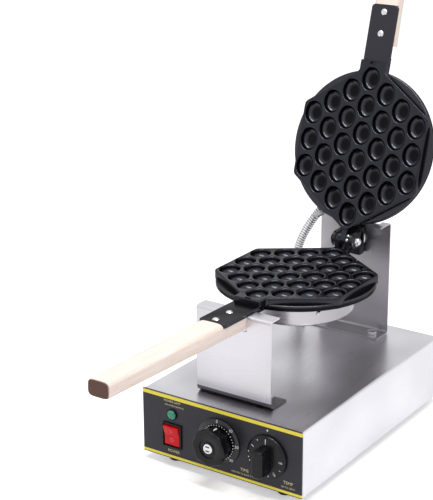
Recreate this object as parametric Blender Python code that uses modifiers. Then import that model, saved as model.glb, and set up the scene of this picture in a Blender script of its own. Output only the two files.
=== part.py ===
"""Bubble waffle maker: two hinged cast moulds on a rear swivel, over a stainless base.

Sizes are millimetres times MM. The bench frame has its origin on the table under the middle of
the front panel: X to the right, Y to the back, Z up. Each mould is built in the frame of its own
cooking face: X across, Y towards the hinge, Z out of the face. At the end the bench is slid so
that the middle of the part's footprint lies on the world's origin.
"""

import math

import bmesh
import bpy
import numpy as np
from mathutils import Matrix, Vector

MM = 0.001

# Fits shared by all pieces
SEAT_GAP = 0.3 * MM
HOLE_GAP = 0.35 * MM
CUT_OVERRUN = 3 * MM
MERGE_DISTANCE = 0.01 * MM

# Base box
BASE_WIDTH = 220 * MM
BASE_DEPTH = 335 * MM
BASE_HEIGHT = 81.5 * MM
BASE_SHEET = 1.2 * MM
BASE_EDGE_RADIUS = 2 * MM
PANEL_THICKNESS = 2 * MM
FOOT_HEIGHT = 10 * MM
FOOT_TOP_RADIUS = 10 * MM
FOOT_BOTTOM_RADIUS = 8.5 * MM
FOOT_RECESS_RADIUS = 4 * MM
FOOT_RECESS_DEPTH = 4 * MM
FOOT_INSET_X = 33.5 * MM
FOOT_INSET_Y = 20.5 * MM
VENT_LENGTH = 70 * MM
VENT_WIDTH = 4 * MM
VENT_PITCH = 14 * MM
VENT_COUNT = 6

# Controls, by their place on the front panel
CONTROL_LINE = 41 * MM
LAMP_X = -67.5 * MM
LAMP_ABOVE_LINE = 16.5 * MM
LAMP_BEZEL_RADIUS = 6.9 * MM
LAMP_BEZEL_THICKNESS = 2 * MM
LAMP_LENS_RADIUS = 5.4 * MM
LAMP_LENS_HEIGHT = 5 * MM
LAMP_BODY_RADIUS = 4.6 * MM
LAMP_BODY_LENGTH = 24 * MM
ROCKER_X = -67.5 * MM
ROCKER_BELOW_LINE = 10.5 * MM
ROCKER_FRAME_WIDTH = 27 * MM
ROCKER_FRAME_HEIGHT = 31 * MM
ROCKER_FRAME_PROUD = 2.2 * MM
ROCKER_BUTTON_WIDTH = 21.5 * MM
ROCKER_BUTTON_HEIGHT = 25 * MM
ROCKER_BUTTON_PROUD = 3.4 * MM
ROCKER_BUTTON_BACK = 3 * MM
ROCKER_GAP = 0.8 * MM
ROCKER_CASE_WALL = 1.4 * MM
ROCKER_CASE_DEPTH = 22 * MM
ROCKER_WELL_DEPTH = 9 * MM
ROCKER_TILT = 8
TIMER_X = -1 * MM
TIMER_DIAL_RADIUS = 29 * MM
TIMER_DIAL_THICKNESS = 3 * MM
TIMER_DIAL_EDGE = 1.2 * MM
TIMER_KNOB_RADIUS = 20.2 * MM
TIMER_KNOB_TAPER = 1.8 * MM
TIMER_KNOB_HEIGHT = 20 * MM
TIMER_KNOB_EDGE = 2 * MM
TIMER_KNOB_LOBES = 8
TIMER_LOBE_SHARE = 0.055
TIMER_CAP_RADIUS = 6.3 * MM
TIMER_CAP_PROUD = 1 * MM
TIMER_CAP_SINK = 1.6 * MM
TIMER_CAP_SLOT = 1.6 * MM
TIMER_BODY_SIDE = 42 * MM
TIMER_BODY_DEPTH = 30 * MM
THERMOSTAT_X = 65 * MM
THERMOSTAT_SKIRT_RADIUS = 26 * MM
THERMOSTAT_SKIRT_THICKNESS = 5 * MM
THERMOSTAT_SKIRT_EDGE = 3 * MM
THERMOSTAT_GRIP_WIDTH = 14.8 * MM
THERMOSTAT_GRIP_LENGTH = 34 * MM
THERMOSTAT_GRIP_BELOW_SHAFT = 2.2 * MM
THERMOSTAT_GRIP_CORNER = 4.5 * MM
THERMOSTAT_GRIP_HEIGHT = 23.3 * MM
THERMOSTAT_GRIP_TAPER = 0.5 * MM
THERMOSTAT_GRIP_EDGE = 2 * MM
THERMOSTAT_BODY_SIDE = 34 * MM
THERMOSTAT_BODY_DEPTH = 36 * MM
KNOB_RUNNING_GAP = 0.7 * MM
SPINDLE_RADIUS = 3 * MM
SPINDLE_IN_KNOB = 10 * MM
TERMINAL_LENGTH = 60 * MM
TERMINAL_DEPTH = 22 * MM
TERMINAL_HEIGHT = 14 * MM
TERMINAL_RIB = 2 * MM
TERMINAL_RIB_HEIGHT = 5 * MM
TERMINAL_POLES = 5
TERMINAL_X = 40 * MM
TERMINAL_BEFORE_REAR = 90 * MM
CORD_GLAND_X = 70 * MM
CORD_GLAND_ABOVE_BASE = 24 * MM
CORD_GLAND_RADIUS = 11 * MM
CORD_GLAND_TIP_RADIUS = 8 * MM
CORD_GLAND_PROUD = 14 * MM
CORD_GLAND_FLANGE = 3 * MM
CORD_GLAND_BORE_RADIUS = 4.5 * MM

# Front rest, folded from one sheet, with a notch for the handle
BRACKET_SHEET = 1.5 * MM
BRACKET_BEND_RADIUS = 3 * MM
FRONT_FOOT_BEND_RADIUS = 7 * MM
FRONT_REST_BEFORE_NECK = 20.4 * MM
FRONT_REST_WIDTH = 102 * MM
FRONT_REST_BELOW_FACE = 9.2 * MM
FRONT_REST_LEDGE = 18.5 * MM
FRONT_REST_FOOT = 34 * MM
NOTCH_SIDE_GAP = 1 * MM
FRONT_BOLT_SPACING = 72 * MM
FRONT_BOLT_FROM_EDGE = 13 * MM

# Rear bracket that carries the swivel
REAR_BRACKET_BEFORE_REAR = 28 * MM
REAR_BRACKET_WIDTH = 100 * MM
REAR_BRACKET_ABOVE_FACE = 31.3 * MM
REAR_BRACKET_EAR_DEPTH = 26 * MM
REAR_BRACKET_EAR_WIDTH = 10 * MM
REAR_BRACKET_FOOT = 28 * MM
REAR_BOLT_SPACING = 73 * MM
REAR_BOLT_FROM_EDGE = 12.5 * MM
BOLT_HEAD_RADIUS = 6 * MM
BOLT_HEAD_HEIGHT = 4 * MM
BOLT_HEAD_EDGE = 0.6 * MM
BOLT_SHANK_RADIUS = 2.9 * MM
BOLT_LENGTH = 10 * MM

# Moulds, measured from the middle of the cooking face
FACE_ABOVE_BASE = 117.7 * MM
PIN_BEFORE_BRACKET = 25.4 * MM
CELL_PITCH_Y = 34.3 * MM
CELL_PITCH_X = 24.3 * MM
CELL_ROWS = (3, 4, 5, 6, 5, 4, 3)
CELL_RADIUS = 13.2 * MM
CELL_DEPTH = 11.5 * MM
CELL_LIP = 0.4 * MM
MOULD_SIDE_MARGIN = 1.4 * MM
MOULD_CORNER_MARGIN = 12.2 * MM
MOULD_TIP_MARGIN = 8.55 * MM
RIM_BEYOND_SIDE = 9.5 * MM
RIM_EDGE_RADIUS = 2 * MM
RIM_THICKNESS = 7 * MM
RIM_BELOW_FACE = 7.2 * MM
FACE_GAP_CLOSED = 0.6 * MM

# Neck and arm of each casting
ARM_WIDTH = 36 * MM
ARM_LENGTH = 63.5 * MM
ARM_THICKNESS = 5 * MM
ARM_STEP = 5.9 * MM
ARM_CORNER_RADIUS = 4 * MM
ARM_RISE = 1.06
NECK_BEYOND_TIP = 8.1 * MM
NECK_DEPTH = 14 * MM
RECESS_WIDTH = 7 * MM
RECESS_LENGTH = 5 * MM
RECESS_DEPTH = 2 * MM
RECESS_BEFORE_END = 8.1 * MM

# Wooden grips, lapped under the arms
GRIP_START = 15 * MM
GRIP_LENGTH = 249 * MM
GRIP_WIDTH = 34.5 * MM
GRIP_END_WIDTH = 27.5 * MM
GRIP_THICKNESS = 22 * MM
GRIP_END_THICKNESS = 19 * MM
GRIP_ROUNDING = 6 * MM
GRIP_END_EDGE = 1 * MM
GRIP_SCREW_PLACES = (27.5 * MM, 54.5 * MM)
GRIP_SCREW_HEAD_RADIUS = 4.3 * MM
GRIP_SCREW_HEAD_HEIGHT = 2 * MM
GRIP_SCREW_SHANK_RADIUS = 1.8 * MM
GRIP_SCREW_LENGTH = 15 * MM
SCREW_SLOT_WIDTH = 1 * MM
SCREW_SLOT_DEPTH = 0.9 * MM
SCREW_DOME_ANGLE = 20

# Heater and its cover behind each mould
COVER_INSIDE_RIM = 26 * MM
COVER_DEPTH = 28 * MM
COVER_SHEET = 1.2 * MM
COVER_EDGE_RADIUS = 3.5 * MM
COVER_SCREW_ANGLES = (-36.5, 83.5, 203.5)
COVER_SCREW_BELOW_RIM = 13 * MM
COVER_SCREW_HEAD_RADIUS = 3 * MM
COVER_SCREW_HEAD_HEIGHT = 1.6 * MM
COVER_SCREW_SHANK_RADIUS = 1.4 * MM
COVER_SCREW_LENGTH = 7 * MM
LUG_THICKNESS = 7 * MM
LUG_WIDTH = 12 * MM
LUG_HEIGHT = 19 * MM
HEATER_RADIUS = 44 * MM
HEATER_TUBE_RADIUS = 4 * MM
HEATER_GAP_ANGLE = 36
HEATER_TAIL = 10 * MM

# Hinge between the moulds, and the swivel behind it
PIN_ABOVE_FACE = 7.45 * MM
PIN_BEYOND_TIP = 10.3 * MM
PIN_RADIUS = 4 * MM
PIN_HEAD_RADIUS = 5.8 * MM
PIN_HEAD_LENGTH = 3 * MM
HINGE_NUT_RADIUS = 6 * MM
HINGE_NUT_LENGTH = 3.6 * MM
HINGE_NUT_DOME = 3.8 * MM
KNUCKLE_RADIUS = 9 * MM
KNUCKLE_SWING_GAP = 2.7 * MM
LID_KNUCKLE_WIDTH = 7.4 * MM
PAN_EAR_WIDTH = 5.7 * MM
YOKE_EAR_WIDTH = 5 * MM
KNUCKLE_SIDE_GAP = 0.3 * MM
KNUCKLE_ROOT_LENGTH = 26 * MM
KNUCKLE_ROOT_TOP = 1 * MM
LID_ROOT_DEPTH = 8 * MM
LID_EAR_START_ANGLE = 130
LID_EAR_END_ANGLE = -110
PAN_EAR_END_ANGLE = -50
PAN_ROOT_DEPTH = 12 * MM
TIP_LUG_HALF_WIDTH = 12 * MM
TIP_LUG_INSIDE_TIP = 9 * MM
TIP_LUG_LENGTH = 14 * MM
YOKE_DEPTH = 11.5 * MM
YOKE_ABOVE_PIN = 13.5 * MM
YOKE_BELOW_PIN = 22 * MM
YOKE_FRONT_GAP = 2.6 * MM
YOKE_EDGE = 1.5 * MM
YOKE_CHAMFER_HEIGHT = 10.5 * MM
YOKE_CHAMFER_DEPTH = 5 * MM
OPEN_ANGLE = 107.5
SHAFT_RADIUS = 8 * MM
SHAFT_BELOW_PIN = 3 * MM
BUSH_RADIUS = 11 * MM
BUSH_FLANGE_RADIUS = 15 * MM
BUSH_LENGTH = 9 * MM
SWIVEL_NUT_RADIUS = 14 * MM
SWIVEL_NUT_LENGTH = 9 * MM

# Flexible metal conduits from the covers into the base
CONDUIT_RADIUS = 6 * MM
CONDUIT_VALLEY_SHARE = 0.84
CONDUIT_BORE_RADIUS = 4 * MM
CONDUIT_RIB_PITCH = 4 * MM
FITTING_ANGLE = 122.5
FITTING_BELOW_FACE = 31 * MM
FITTING_RADIUS = 7.5 * MM
FITTING_LENGTH = 9 * MM
FITTING_NUT_LENGTH = 5 * MM
FITTING_COLLAR_RADIUS = 6.6 * MM
LID_GLAND_X = -84 * MM
LID_GLAND_BEFORE_BRACKET = 7 * MM
PAN_GLAND_X = -66 * MM
PAN_GLAND_BEFORE_BRACKET = 27 * MM
CONDUIT_CURL_SHARE = 0.42
FITTING_STEM_RADIUS = 5 * MM
FITTING_STEM_LENGTH = 5 * MM
GLAND_RADIUS = 9.5 * MM
GLAND_PROUD = 11 * MM
GLAND_COLLAR_RADIUS = 7.5 * MM
GLAND_STEM_RADIUS = 6 * MM
GLAND_NUT_LENGTH = 6 * MM
GLAND_STEM_LENGTH = 8 * MM

# Facet counts and edge shapes
ROUND_PROFILE = 0.5
ROUND_STEPS = 26
RIM_STEPS = 40
SMALL_STEPS = 14
SCREW_STEPS = 10
CELL_STEPS = 12
CELL_RINGS = 3
BEND_STEPS = 4
EDGE_STEPS = 3
HEATER_STEPS = 22
LOBE_STEPS = 5
HEXAGON_SIDES = 6
ROUTE_SAMPLES = 200
BORE_KNOT_COUNT = 4
KNOT_WEIGHT = 1
SMOOTH_ANGLE = 35
CELL_SMOOTH_ANGLE = 50
BEVEL_ANGLE = 40
FLAT_EDGE_ANGLE = 65

# Places that follow from the sizes above
BASE_TOP = FOOT_HEIGHT + BASE_HEIGHT
SHELL_FRONT = PANEL_THICKNESS + SEAT_GAP
TERMINAL_Y = BASE_DEPTH - TERMINAL_BEFORE_REAR
CONTROL_HEIGHT = FOOT_HEIGHT + CONTROL_LINE
FACE_HEIGHT = BASE_TOP + FACE_ABOVE_BASE
RIM_BACK = RIM_BELOW_FACE + RIM_THICKNESS
REAR_BRACKET_Y = BASE_DEPTH - REAR_BRACKET_BEFORE_REAR
REAR_BRACKET_HEIGHT = FACE_ABOVE_BASE + REAR_BRACKET_ABOVE_FACE
PIN_Y = REAR_BRACKET_Y - PIN_BEFORE_BRACKET
MOULD_HALF_WIDTH = CELL_PITCH_X * (len(CELL_ROWS) - 1) / 2 + CELL_RADIUS + MOULD_SIDE_MARGIN
MOULD_SIDE_HALF_LENGTH = CELL_PITCH_Y * (min(CELL_ROWS) - 1) / 2 + MOULD_CORNER_MARGIN
MOULD_TIP_REACH = CELL_PITCH_Y * (max(CELL_ROWS) - 1) / 2 + CELL_RADIUS + MOULD_TIP_MARGIN
RIM_RADIUS = MOULD_HALF_WIDTH + RIM_BEYOND_SIDE
COVER_RADIUS = RIM_RADIUS - COVER_INSIDE_RIM
NECK_REACH = MOULD_TIP_REACH + NECK_BEYOND_TIP
RECESS_REACH = NECK_REACH - RECESS_BEFORE_END
TIP_LUG_REACH = MOULD_TIP_REACH - TIP_LUG_INSIDE_TIP
PIN_BEHIND_CENTRE = MOULD_TIP_REACH + PIN_BEYOND_TIP
MOULD_CENTRE_Y = PIN_Y - PIN_BEHIND_CENTRE
PIN_HEIGHT = FACE_HEIGHT + PIN_ABOVE_FACE
MOULD_REAR_REACH = PIN_BEHIND_CENTRE - KNUCKLE_RADIUS - KNUCKLE_SWING_GAP
PAN_EAR_START = LID_KNUCKLE_WIDTH / 2 + KNUCKLE_SIDE_GAP
YOKE_EAR_START = PAN_EAR_START + PAN_EAR_WIDTH + KNUCKLE_SIDE_GAP
YOKE_HALF_WIDTH = YOKE_EAR_START + YOKE_EAR_WIDTH
YOKE_FRONT = KNUCKLE_RADIUS + YOKE_FRONT_GAP
YOKE_REAR = YOKE_FRONT + YOKE_DEPTH
PLATE_REAR = REAR_BRACKET_Y + BRACKET_SHEET
COVER_BOTTOM = RIM_BACK + SEAT_GAP + COVER_DEPTH
NECK_FRONT_Y = MOULD_CENTRE_Y - NECK_REACH
FRONT_REST_Y = NECK_FRONT_Y - FRONT_REST_BEFORE_NECK
FRONT_REST_HEIGHT = FACE_ABOVE_BASE - FRONT_REST_BELOW_FACE
LID_GLAND_PLACE = (LID_GLAND_X, REAR_BRACKET_Y - LID_GLAND_BEFORE_BRACKET)
PAN_GLAND_PLACE = (PAN_GLAND_X, REAR_BRACKET_Y - PAN_GLAND_BEFORE_BRACKET)

FACING_FRONT = (math.radians(90), 0, 0)
FACING_BACK = (math.radians(-90), 0, 0)
FACING_RIGHT = (0, math.radians(90), 0)


def clear_scene():
    for thing in list(bpy.data.objects):
        bpy.data.objects.remove(thing, do_unlink=True)


def new_collection(name):
    made = bpy.data.collections.new(name)
    bpy.context.scene.collection.children.link(made)
    return made


def finish(name, colour, roughness, metallic):
    """A plain shading for one finish; the colour is linear red, green and blue."""
    made = bpy.data.materials.new(name)
    made.use_nodes = True
    shader = made.node_tree.nodes["Principled BSDF"]
    shader.inputs["Base Color"].default_value = (*colour, 1)
    shader.inputs["Roughness"].default_value = roughness
    shader.inputs["Metallic"].default_value = metallic
    made.diffuse_color = (*colour, 1)
    return made


class Bench:
    """Holds the collections and finishes, and puts pieces and cutters in their frames."""

    def __init__(self):
        self.pieces = new_collection("bubble_waffle_maker")
        self.cutters = new_collection("cutters")
        self.finishes = {
            "brushed_steel": finish("brushed_steel", (0.56, 0.55, 0.57), 0.34, 1),
            "bright_zinc": finish("bright_zinc", (0.72, 0.72, 0.74), 0.25, 1),
            "cast_black": finish("cast_black", (0.012, 0.012, 0.014), 0.42, 0.1),
            "black_steel": finish("black_steel", (0.016, 0.016, 0.018), 0.45, 0.3),
            "beech": finish("beech", (0.62, 0.43, 0.3), 0.6, 0),
            "black_plastic": finish("black_plastic", (0.02, 0.02, 0.024), 0.4, 0),
            "panel_film": finish("panel_film", (0.027, 0.027, 0.036), 0.38, 0),
            "red_plastic": finish("red_plastic", (0.6, 0.01, 0.012), 0.35, 0),
            "green_lens": finish("green_lens", (0.02, 0.32, 0.2), 0.2, 0),
            "rubber": finish("rubber", (0.02, 0.02, 0.02), 0.7, 0),
            "pale_plastic": finish("pale_plastic", (0.7, 0.7, 0.66), 0.5, 0),
            "heater_sheath": finish("heater_sheath", (0.2, 0.19, 0.18), 0.5, 1),
        }

    def frame(self, name, parent=None, place=(0, 0, 0), turn=(0, 0, 0)):
        made = bpy.data.objects.new(name, None)
        self.pieces.objects.link(made)
        made.parent = parent
        made.location = place
        made.rotation_euler = turn
        return made

    def piece(self, name, shape, finish_name, frame, place=(0, 0, 0), turn=(0, 0, 0)):
        made = bpy.data.objects.new(name, shape)
        self.pieces.objects.link(made)
        shape.name = name
        if not shape.materials:
            shape.materials.append(self.finishes[finish_name])
        made.parent = frame
        made.location = place
        made.rotation_euler = turn
        return made

    def tool(self, name, shape, frame, place=(0, 0, 0), turn=(0, 0, 0)):
        """A cutter, or a shape that a union joins to a piece."""
        made = bpy.data.objects.new(name, shape)
        self.cutters.objects.link(made)
        made.parent = frame
        made.location = place
        made.rotation_euler = turn
        made.hide_render = True
        made.display_type = "WIRE"
        return made


def boolean(piece, other, operation="DIFFERENCE"):
    step = piece.modifiers.new(f"{operation.lower()}_{other.name}", "BOOLEAN")
    step.operation = operation
    step.solver = "EXACT"
    step.object = other


def bevelled(piece, width, steps=2, angle=BEVEL_ANGLE):
    step = piece.modifiers.new("rounded_edges", "BEVEL")
    step.width = width
    step.segments = steps
    step.limit_method = "ANGLE"
    step.angle_limit = math.radians(angle)


def bevel_edges(shape, edges, width):
    bmesh.ops.bevel(
        shape,
        geom=edges,
        offset=width,
        segments=EDGE_STEPS,
        affect="EDGES",
        profile=ROUND_PROFILE,
    )


def smooth(shape, angle):
    shape.shade_smooth()
    shape.set_sharp_from_angle(angle=math.radians(angle))


def to_mesh(shape, smooth_angle=None):
    """The bmesh as a mesh, its faces pointing out."""
    bmesh.ops.recalc_face_normals(shape, faces=shape.faces)
    mesh = bpy.data.meshes.new("shape")
    shape.to_mesh(mesh)
    shape.free()
    if smooth_angle:
        smooth(mesh, smooth_angle)
    return mesh


def add_box(shape, low, high):
    low, high = Vector(low), Vector(high)
    reach = Matrix.Diagonal((*(high - low), 1))
    made = bmesh.ops.create_cube(shape, size=1, matrix=Matrix.Translation((low + high) / 2) @ reach)
    return made["verts"]


def box(low, high):
    shape = bmesh.new()
    add_box(shape, low, high)
    return to_mesh(shape)


def add_rod(shape, radius, bottom, top, steps, centre=(0, 0), tip_radius=None):
    """A cylinder or cone along Z."""
    middle = Matrix.Translation((centre[0], centre[1], (bottom + top) / 2))
    bmesh.ops.create_cone(
        shape,
        cap_ends=True,
        segments=steps,
        radius1=radius,
        radius2=radius if tip_radius is None else tip_radius,
        depth=top - bottom,
        matrix=middle,
    )


def rod(radius, bottom, top, steps=SMALL_STEPS, centre=(0, 0), tip_radius=None):
    shape = bmesh.new()
    add_rod(shape, radius, bottom, top, steps, centre, tip_radius)
    return to_mesh(shape, SMOOTH_ANGLE)


def line_mesh(points, closed=False):
    """Vertices joined in order by edges, for a Screw or an extrusion."""
    mesh = bpy.data.meshes.new("profile")
    count = len(points)
    edges = [(i, i + 1) for i in range(count - 1)]
    if closed:
        edges.append((count - 1, 0))
    mesh.from_pydata([tuple(point) for point in points], edges, [])
    return mesh


def turned(bench, name, profile, finish_name, frame, place=(0, 0, 0), turn=(0, 0, 0), steps=ROUND_STEPS):
    """A piece turned about its own Z. The profile is (radius, height), down the outer side.

    One that starts off the axis is a ring, and its profile closes on itself.
    """
    ring = profile[0][0] > 0
    shape = line_mesh([(radius, 0, height) for radius, height in profile], closed=ring)
    piece = bench.piece(name, shape, finish_name, frame, place, turn)
    turning = piece.modifiers.new("turning", "SCREW")
    turning.angle = math.radians(360)
    turning.steps = steps
    turning.render_steps = steps
    turning.use_merge_vertices = True
    turning.merge_threshold = MERGE_DISTANCE
    turning.use_smooth_shade = False
    turning.use_normal_calculate = False
    return piece


def plate(outline, thickness, bottom=0):
    """A flat outline in XY, given its thickness along Z from the bottom up."""
    drawing = bpy.data.curves.new("outline", "CURVE")
    drawing.dimensions = "2D"
    drawing.fill_mode = "BOTH"
    drawing.extrude = thickness / 2
    line = drawing.splines.new("POLY")
    line.points.add(len(outline) - 1)
    for point, (across, along) in zip(line.points, outline):
        point.co = (across, along, 0, KNOT_WEIGHT)
    line.use_cyclic_u = True
    return curve_mesh(drawing, Matrix.Translation((0, 0, bottom + thickness / 2)))


def curve_mesh(drawing, move=None):
    """The curve's solid as a mesh whose caps are joined to its sides."""
    guide = bpy.data.objects.new("guide", drawing)
    bpy.context.scene.collection.objects.link(guide)
    if move is not None:
        guide.matrix_world = move
    bpy.context.view_layer.update()
    graph = bpy.context.evaluated_depsgraph_get()
    mesh = bpy.data.meshes.new_from_object(guide.evaluated_get(graph))
    shape = bmesh.new()
    shape.from_mesh(mesh)
    bmesh.ops.remove_doubles(shape, verts=shape.verts, dist=MERGE_DISTANCE)
    bmesh.ops.transform(shape, matrix=guide.matrix_world, verts=shape.verts)
    bpy.data.objects.remove(guide)
    bpy.data.meshes.remove(mesh)
    return to_mesh(shape, SMOOTH_ANGLE)


def tube_curve(points, radii, sides=2):
    """A curve through the points, one radius at each."""
    drawing = bpy.data.curves.new("tube", "CURVE")
    drawing.dimensions = "3D"
    drawing.bevel_mode = "ROUND"
    drawing.bevel_depth = 1
    drawing.bevel_resolution = sides
    drawing.use_fill_caps = True
    line = drawing.splines.new("POLY")
    line.points.add(len(points) - 1)
    for knot, point, radius in zip(line.points, points, radii):
        knot.co = (*point, KNOT_WEIGHT)
        knot.radius = radius
    return drawing


def arc(centre, radius, start, end, steps):
    """Points on an arc in a plane, angles in degrees."""
    angles = np.radians(np.linspace(start, end, steps + 1))
    return [(centre[0] + radius * math.cos(a), centre[1] + radius * math.sin(a)) for a in angles]


def softened(corners, radii, steps=BEND_STEPS, closed=True):
    """A polyline whose corners are replaced by arcs of the given radii."""
    count = len(corners)
    points = []
    for i, (corner, radius) in enumerate(zip(corners, radii)):
        here = Vector(corner)
        if radius == 0 or (not closed and i in (0, count - 1)):
            points.append(tuple(here))
            continue
        before = (Vector(corners[i - 1]) - here).normalized()
        after = (Vector(corners[(i + 1) % count]) - here).normalized()
        half = before.angle(after) / 2
        middle = here + (before + after).normalized() * (radius / math.sin(half))
        first = here + before * (radius / math.tan(half)) - middle
        last = here + after * (radius / math.tan(half)) - middle
        sweep = math.atan2(first.cross(last), first.dot(last))
        for step in range(steps + 1):
            spoke = first.copy()
            spoke.rotate(Matrix.Rotation(sweep * step / steps, 2))
            points.append(tuple(middle + spoke))
    return points


def folded_sheet(bench, name, path, width, frame):
    """A strip of sheet whose middle follows the path in YZ, across the width in X."""
    shape = bmesh.new()
    shape.from_mesh(line_mesh([(-width / 2, along, height) for along, height in path]))
    swept = bmesh.ops.extrude_edge_only(shape, edges=shape.edges[:])
    far_side = [vert for vert in swept["geom"] if isinstance(vert, bmesh.types.BMVert)]
    bmesh.ops.translate(shape, verts=far_side, vec=(width, 0, 0))
    piece = bench.piece(name, to_mesh(shape), "brushed_steel", frame)
    sheet = piece.modifiers.new("sheet", "SOLIDIFY")
    sheet.thickness = BRACKET_SHEET
    sheet.offset = 0
    sheet.use_even_offset = True
    return piece


def make_base(bench, frame):
    """The folded shell, its floor, its panel and its feet."""
    wall = BASE_SHEET / 2
    shape = bmesh.new()
    low = (-BASE_WIDTH / 2 + wall, SHELL_FRONT, FOOT_HEIGHT)
    high = (BASE_WIDTH / 2 - wall, BASE_DEPTH - wall, BASE_TOP - wall)
    add_box(shape, low, high)
    shape.faces.ensure_lookup_table()
    open_sides = [face for face in shape.faces if face.normal.y < -0.5 or face.normal.z < -0.5]
    bmesh.ops.delete(shape, geom=open_sides, context="FACES")
    folds = [edge for edge in shape.edges if len(edge.link_faces) == 2]
    bevel_edges(shape, folds, BASE_EDGE_RADIUS)
    shell = bench.piece("base_shell", to_mesh(shape), "brushed_steel", frame)
    sheet = shell.modifiers.new("sheet", "SOLIDIFY")
    sheet.thickness = BASE_SHEET
    sheet.offset = 0
    sheet.use_even_offset = True
    drill = bmesh.new()
    top_low = BASE_TOP - BASE_SHEET - CUT_OVERRUN
    top_high = BASE_TOP + CUT_OVERRUN
    for centre in front_bolt_places() + rear_bolt_places():
        add_rod(drill, BOLT_SHANK_RADIUS + HOLE_GAP, top_low, top_high, SCREW_STEPS, centre)
    for centre in (LID_GLAND_PLACE, PAN_GLAND_PLACE):
        add_rod(drill, GLAND_STEM_RADIUS + HOLE_GAP, top_low, top_high, SMALL_STEPS, centre)
    boolean(shell, bench.tool("top_drill", to_mesh(drill), frame))
    cord_hole = rod(CORD_GLAND_TIP_RADIUS + HOLE_GAP, -CUT_OVERRUN, CUT_OVERRUN)
    cord_place = (CORD_GLAND_X, BASE_DEPTH - wall, FOOT_HEIGHT + CORD_GLAND_ABOVE_BASE)
    boolean(shell, bench.tool("cord_drill", cord_hole, frame, cord_place, FACING_BACK))

    inner = BASE_WIDTH / 2 - BASE_SHEET - SEAT_GAP
    rear = BASE_DEPTH - BASE_SHEET - SEAT_GAP
    corners = [(-inner, SHELL_FRONT), (inner, SHELL_FRONT), (inner, rear), (-inner, rear)]
    outline = softened(corners, (0, 0, BASE_EDGE_RADIUS, BASE_EDGE_RADIUS))
    floor = bench.piece("bottom_plate", plate(outline, BASE_SHEET, FOOT_HEIGHT), "brushed_steel", frame)
    slots = bmesh.new()
    for i in range(VENT_COUNT):
        middle = BASE_DEPTH / 2 + (i - (VENT_COUNT - 1) / 2) * VENT_PITCH
        slot_low = (-VENT_LENGTH / 2, middle - VENT_WIDTH / 2, FOOT_HEIGHT - CUT_OVERRUN)
        slot_high = (VENT_LENGTH / 2, middle + VENT_WIDTH / 2, FOOT_HEIGHT + BASE_SHEET + CUT_OVERRUN)
        add_box(slots, slot_low, slot_high)
    boolean(floor, bench.tool("vent_slots", to_mesh(slots), frame))

    for side, across in (("left", -1), ("right", 1)):
        for end, along in (("front", FOOT_INSET_Y), ("rear", BASE_DEPTH - FOOT_INSET_Y)):
            place = (across * (BASE_WIDTH / 2 - FOOT_INSET_X), along, 0)
            profile = (
                (0, FOOT_HEIGHT - SEAT_GAP),
                (FOOT_TOP_RADIUS, FOOT_HEIGHT - SEAT_GAP),
                (FOOT_BOTTOM_RADIUS, 0),
                (FOOT_RECESS_RADIUS, 0),
                (FOOT_RECESS_RADIUS, FOOT_RECESS_DEPTH),
                (0, FOOT_RECESS_DEPTH),
            )
            turned(bench, f"foot_{end}_{side}", profile, "rubber", frame, place, steps=SMALL_STEPS)


def control_place(across, above=0):
    """A point on the front of the panel; a piece turned to face the front starts there."""
    return (across, 0, CONTROL_HEIGHT + above)


def make_panel(bench, frame):
    half = BASE_WIDTH / 2
    face = box((-half, 0, FOOT_HEIGHT), (half, PANEL_THICKNESS, BASE_TOP))
    panel = bench.piece("control_panel", face, "panel_film", frame)
    holes = (
        ("lamp_hole", LAMP_X, LAMP_ABOVE_LINE, LAMP_BODY_RADIUS),
        ("timer_hole", TIMER_X, 0, SPINDLE_RADIUS),
        ("thermostat_hole", THERMOSTAT_X, 0, SPINDLE_RADIUS),
    )
    for name, across, above, radius in holes:
        shape = rod(radius + HOLE_GAP, -PANEL_THICKNESS - CUT_OVERRUN, CUT_OVERRUN)
        boolean(panel, bench.tool(name, shape, frame, control_place(across, above), FACING_FRONT))
    half_width = rocker_case_half_width() + HOLE_GAP
    half_height = rocker_case_half_height() + HOLE_GAP
    back = -PANEL_THICKNESS - CUT_OVERRUN
    shape = box((-half_width, -half_height, back), (half_width, half_height, CUT_OVERRUN))
    place = control_place(ROCKER_X, -ROCKER_BELOW_LINE)
    boolean(panel, bench.tool("rocker_hole", shape, frame, place, FACING_FRONT))


def rocker_case_half_width():
    return ROCKER_BUTTON_WIDTH / 2 + ROCKER_GAP + ROCKER_CASE_WALL


def rocker_case_half_height():
    return ROCKER_BUTTON_HEIGHT / 2 + ROCKER_GAP + ROCKER_CASE_WALL


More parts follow.
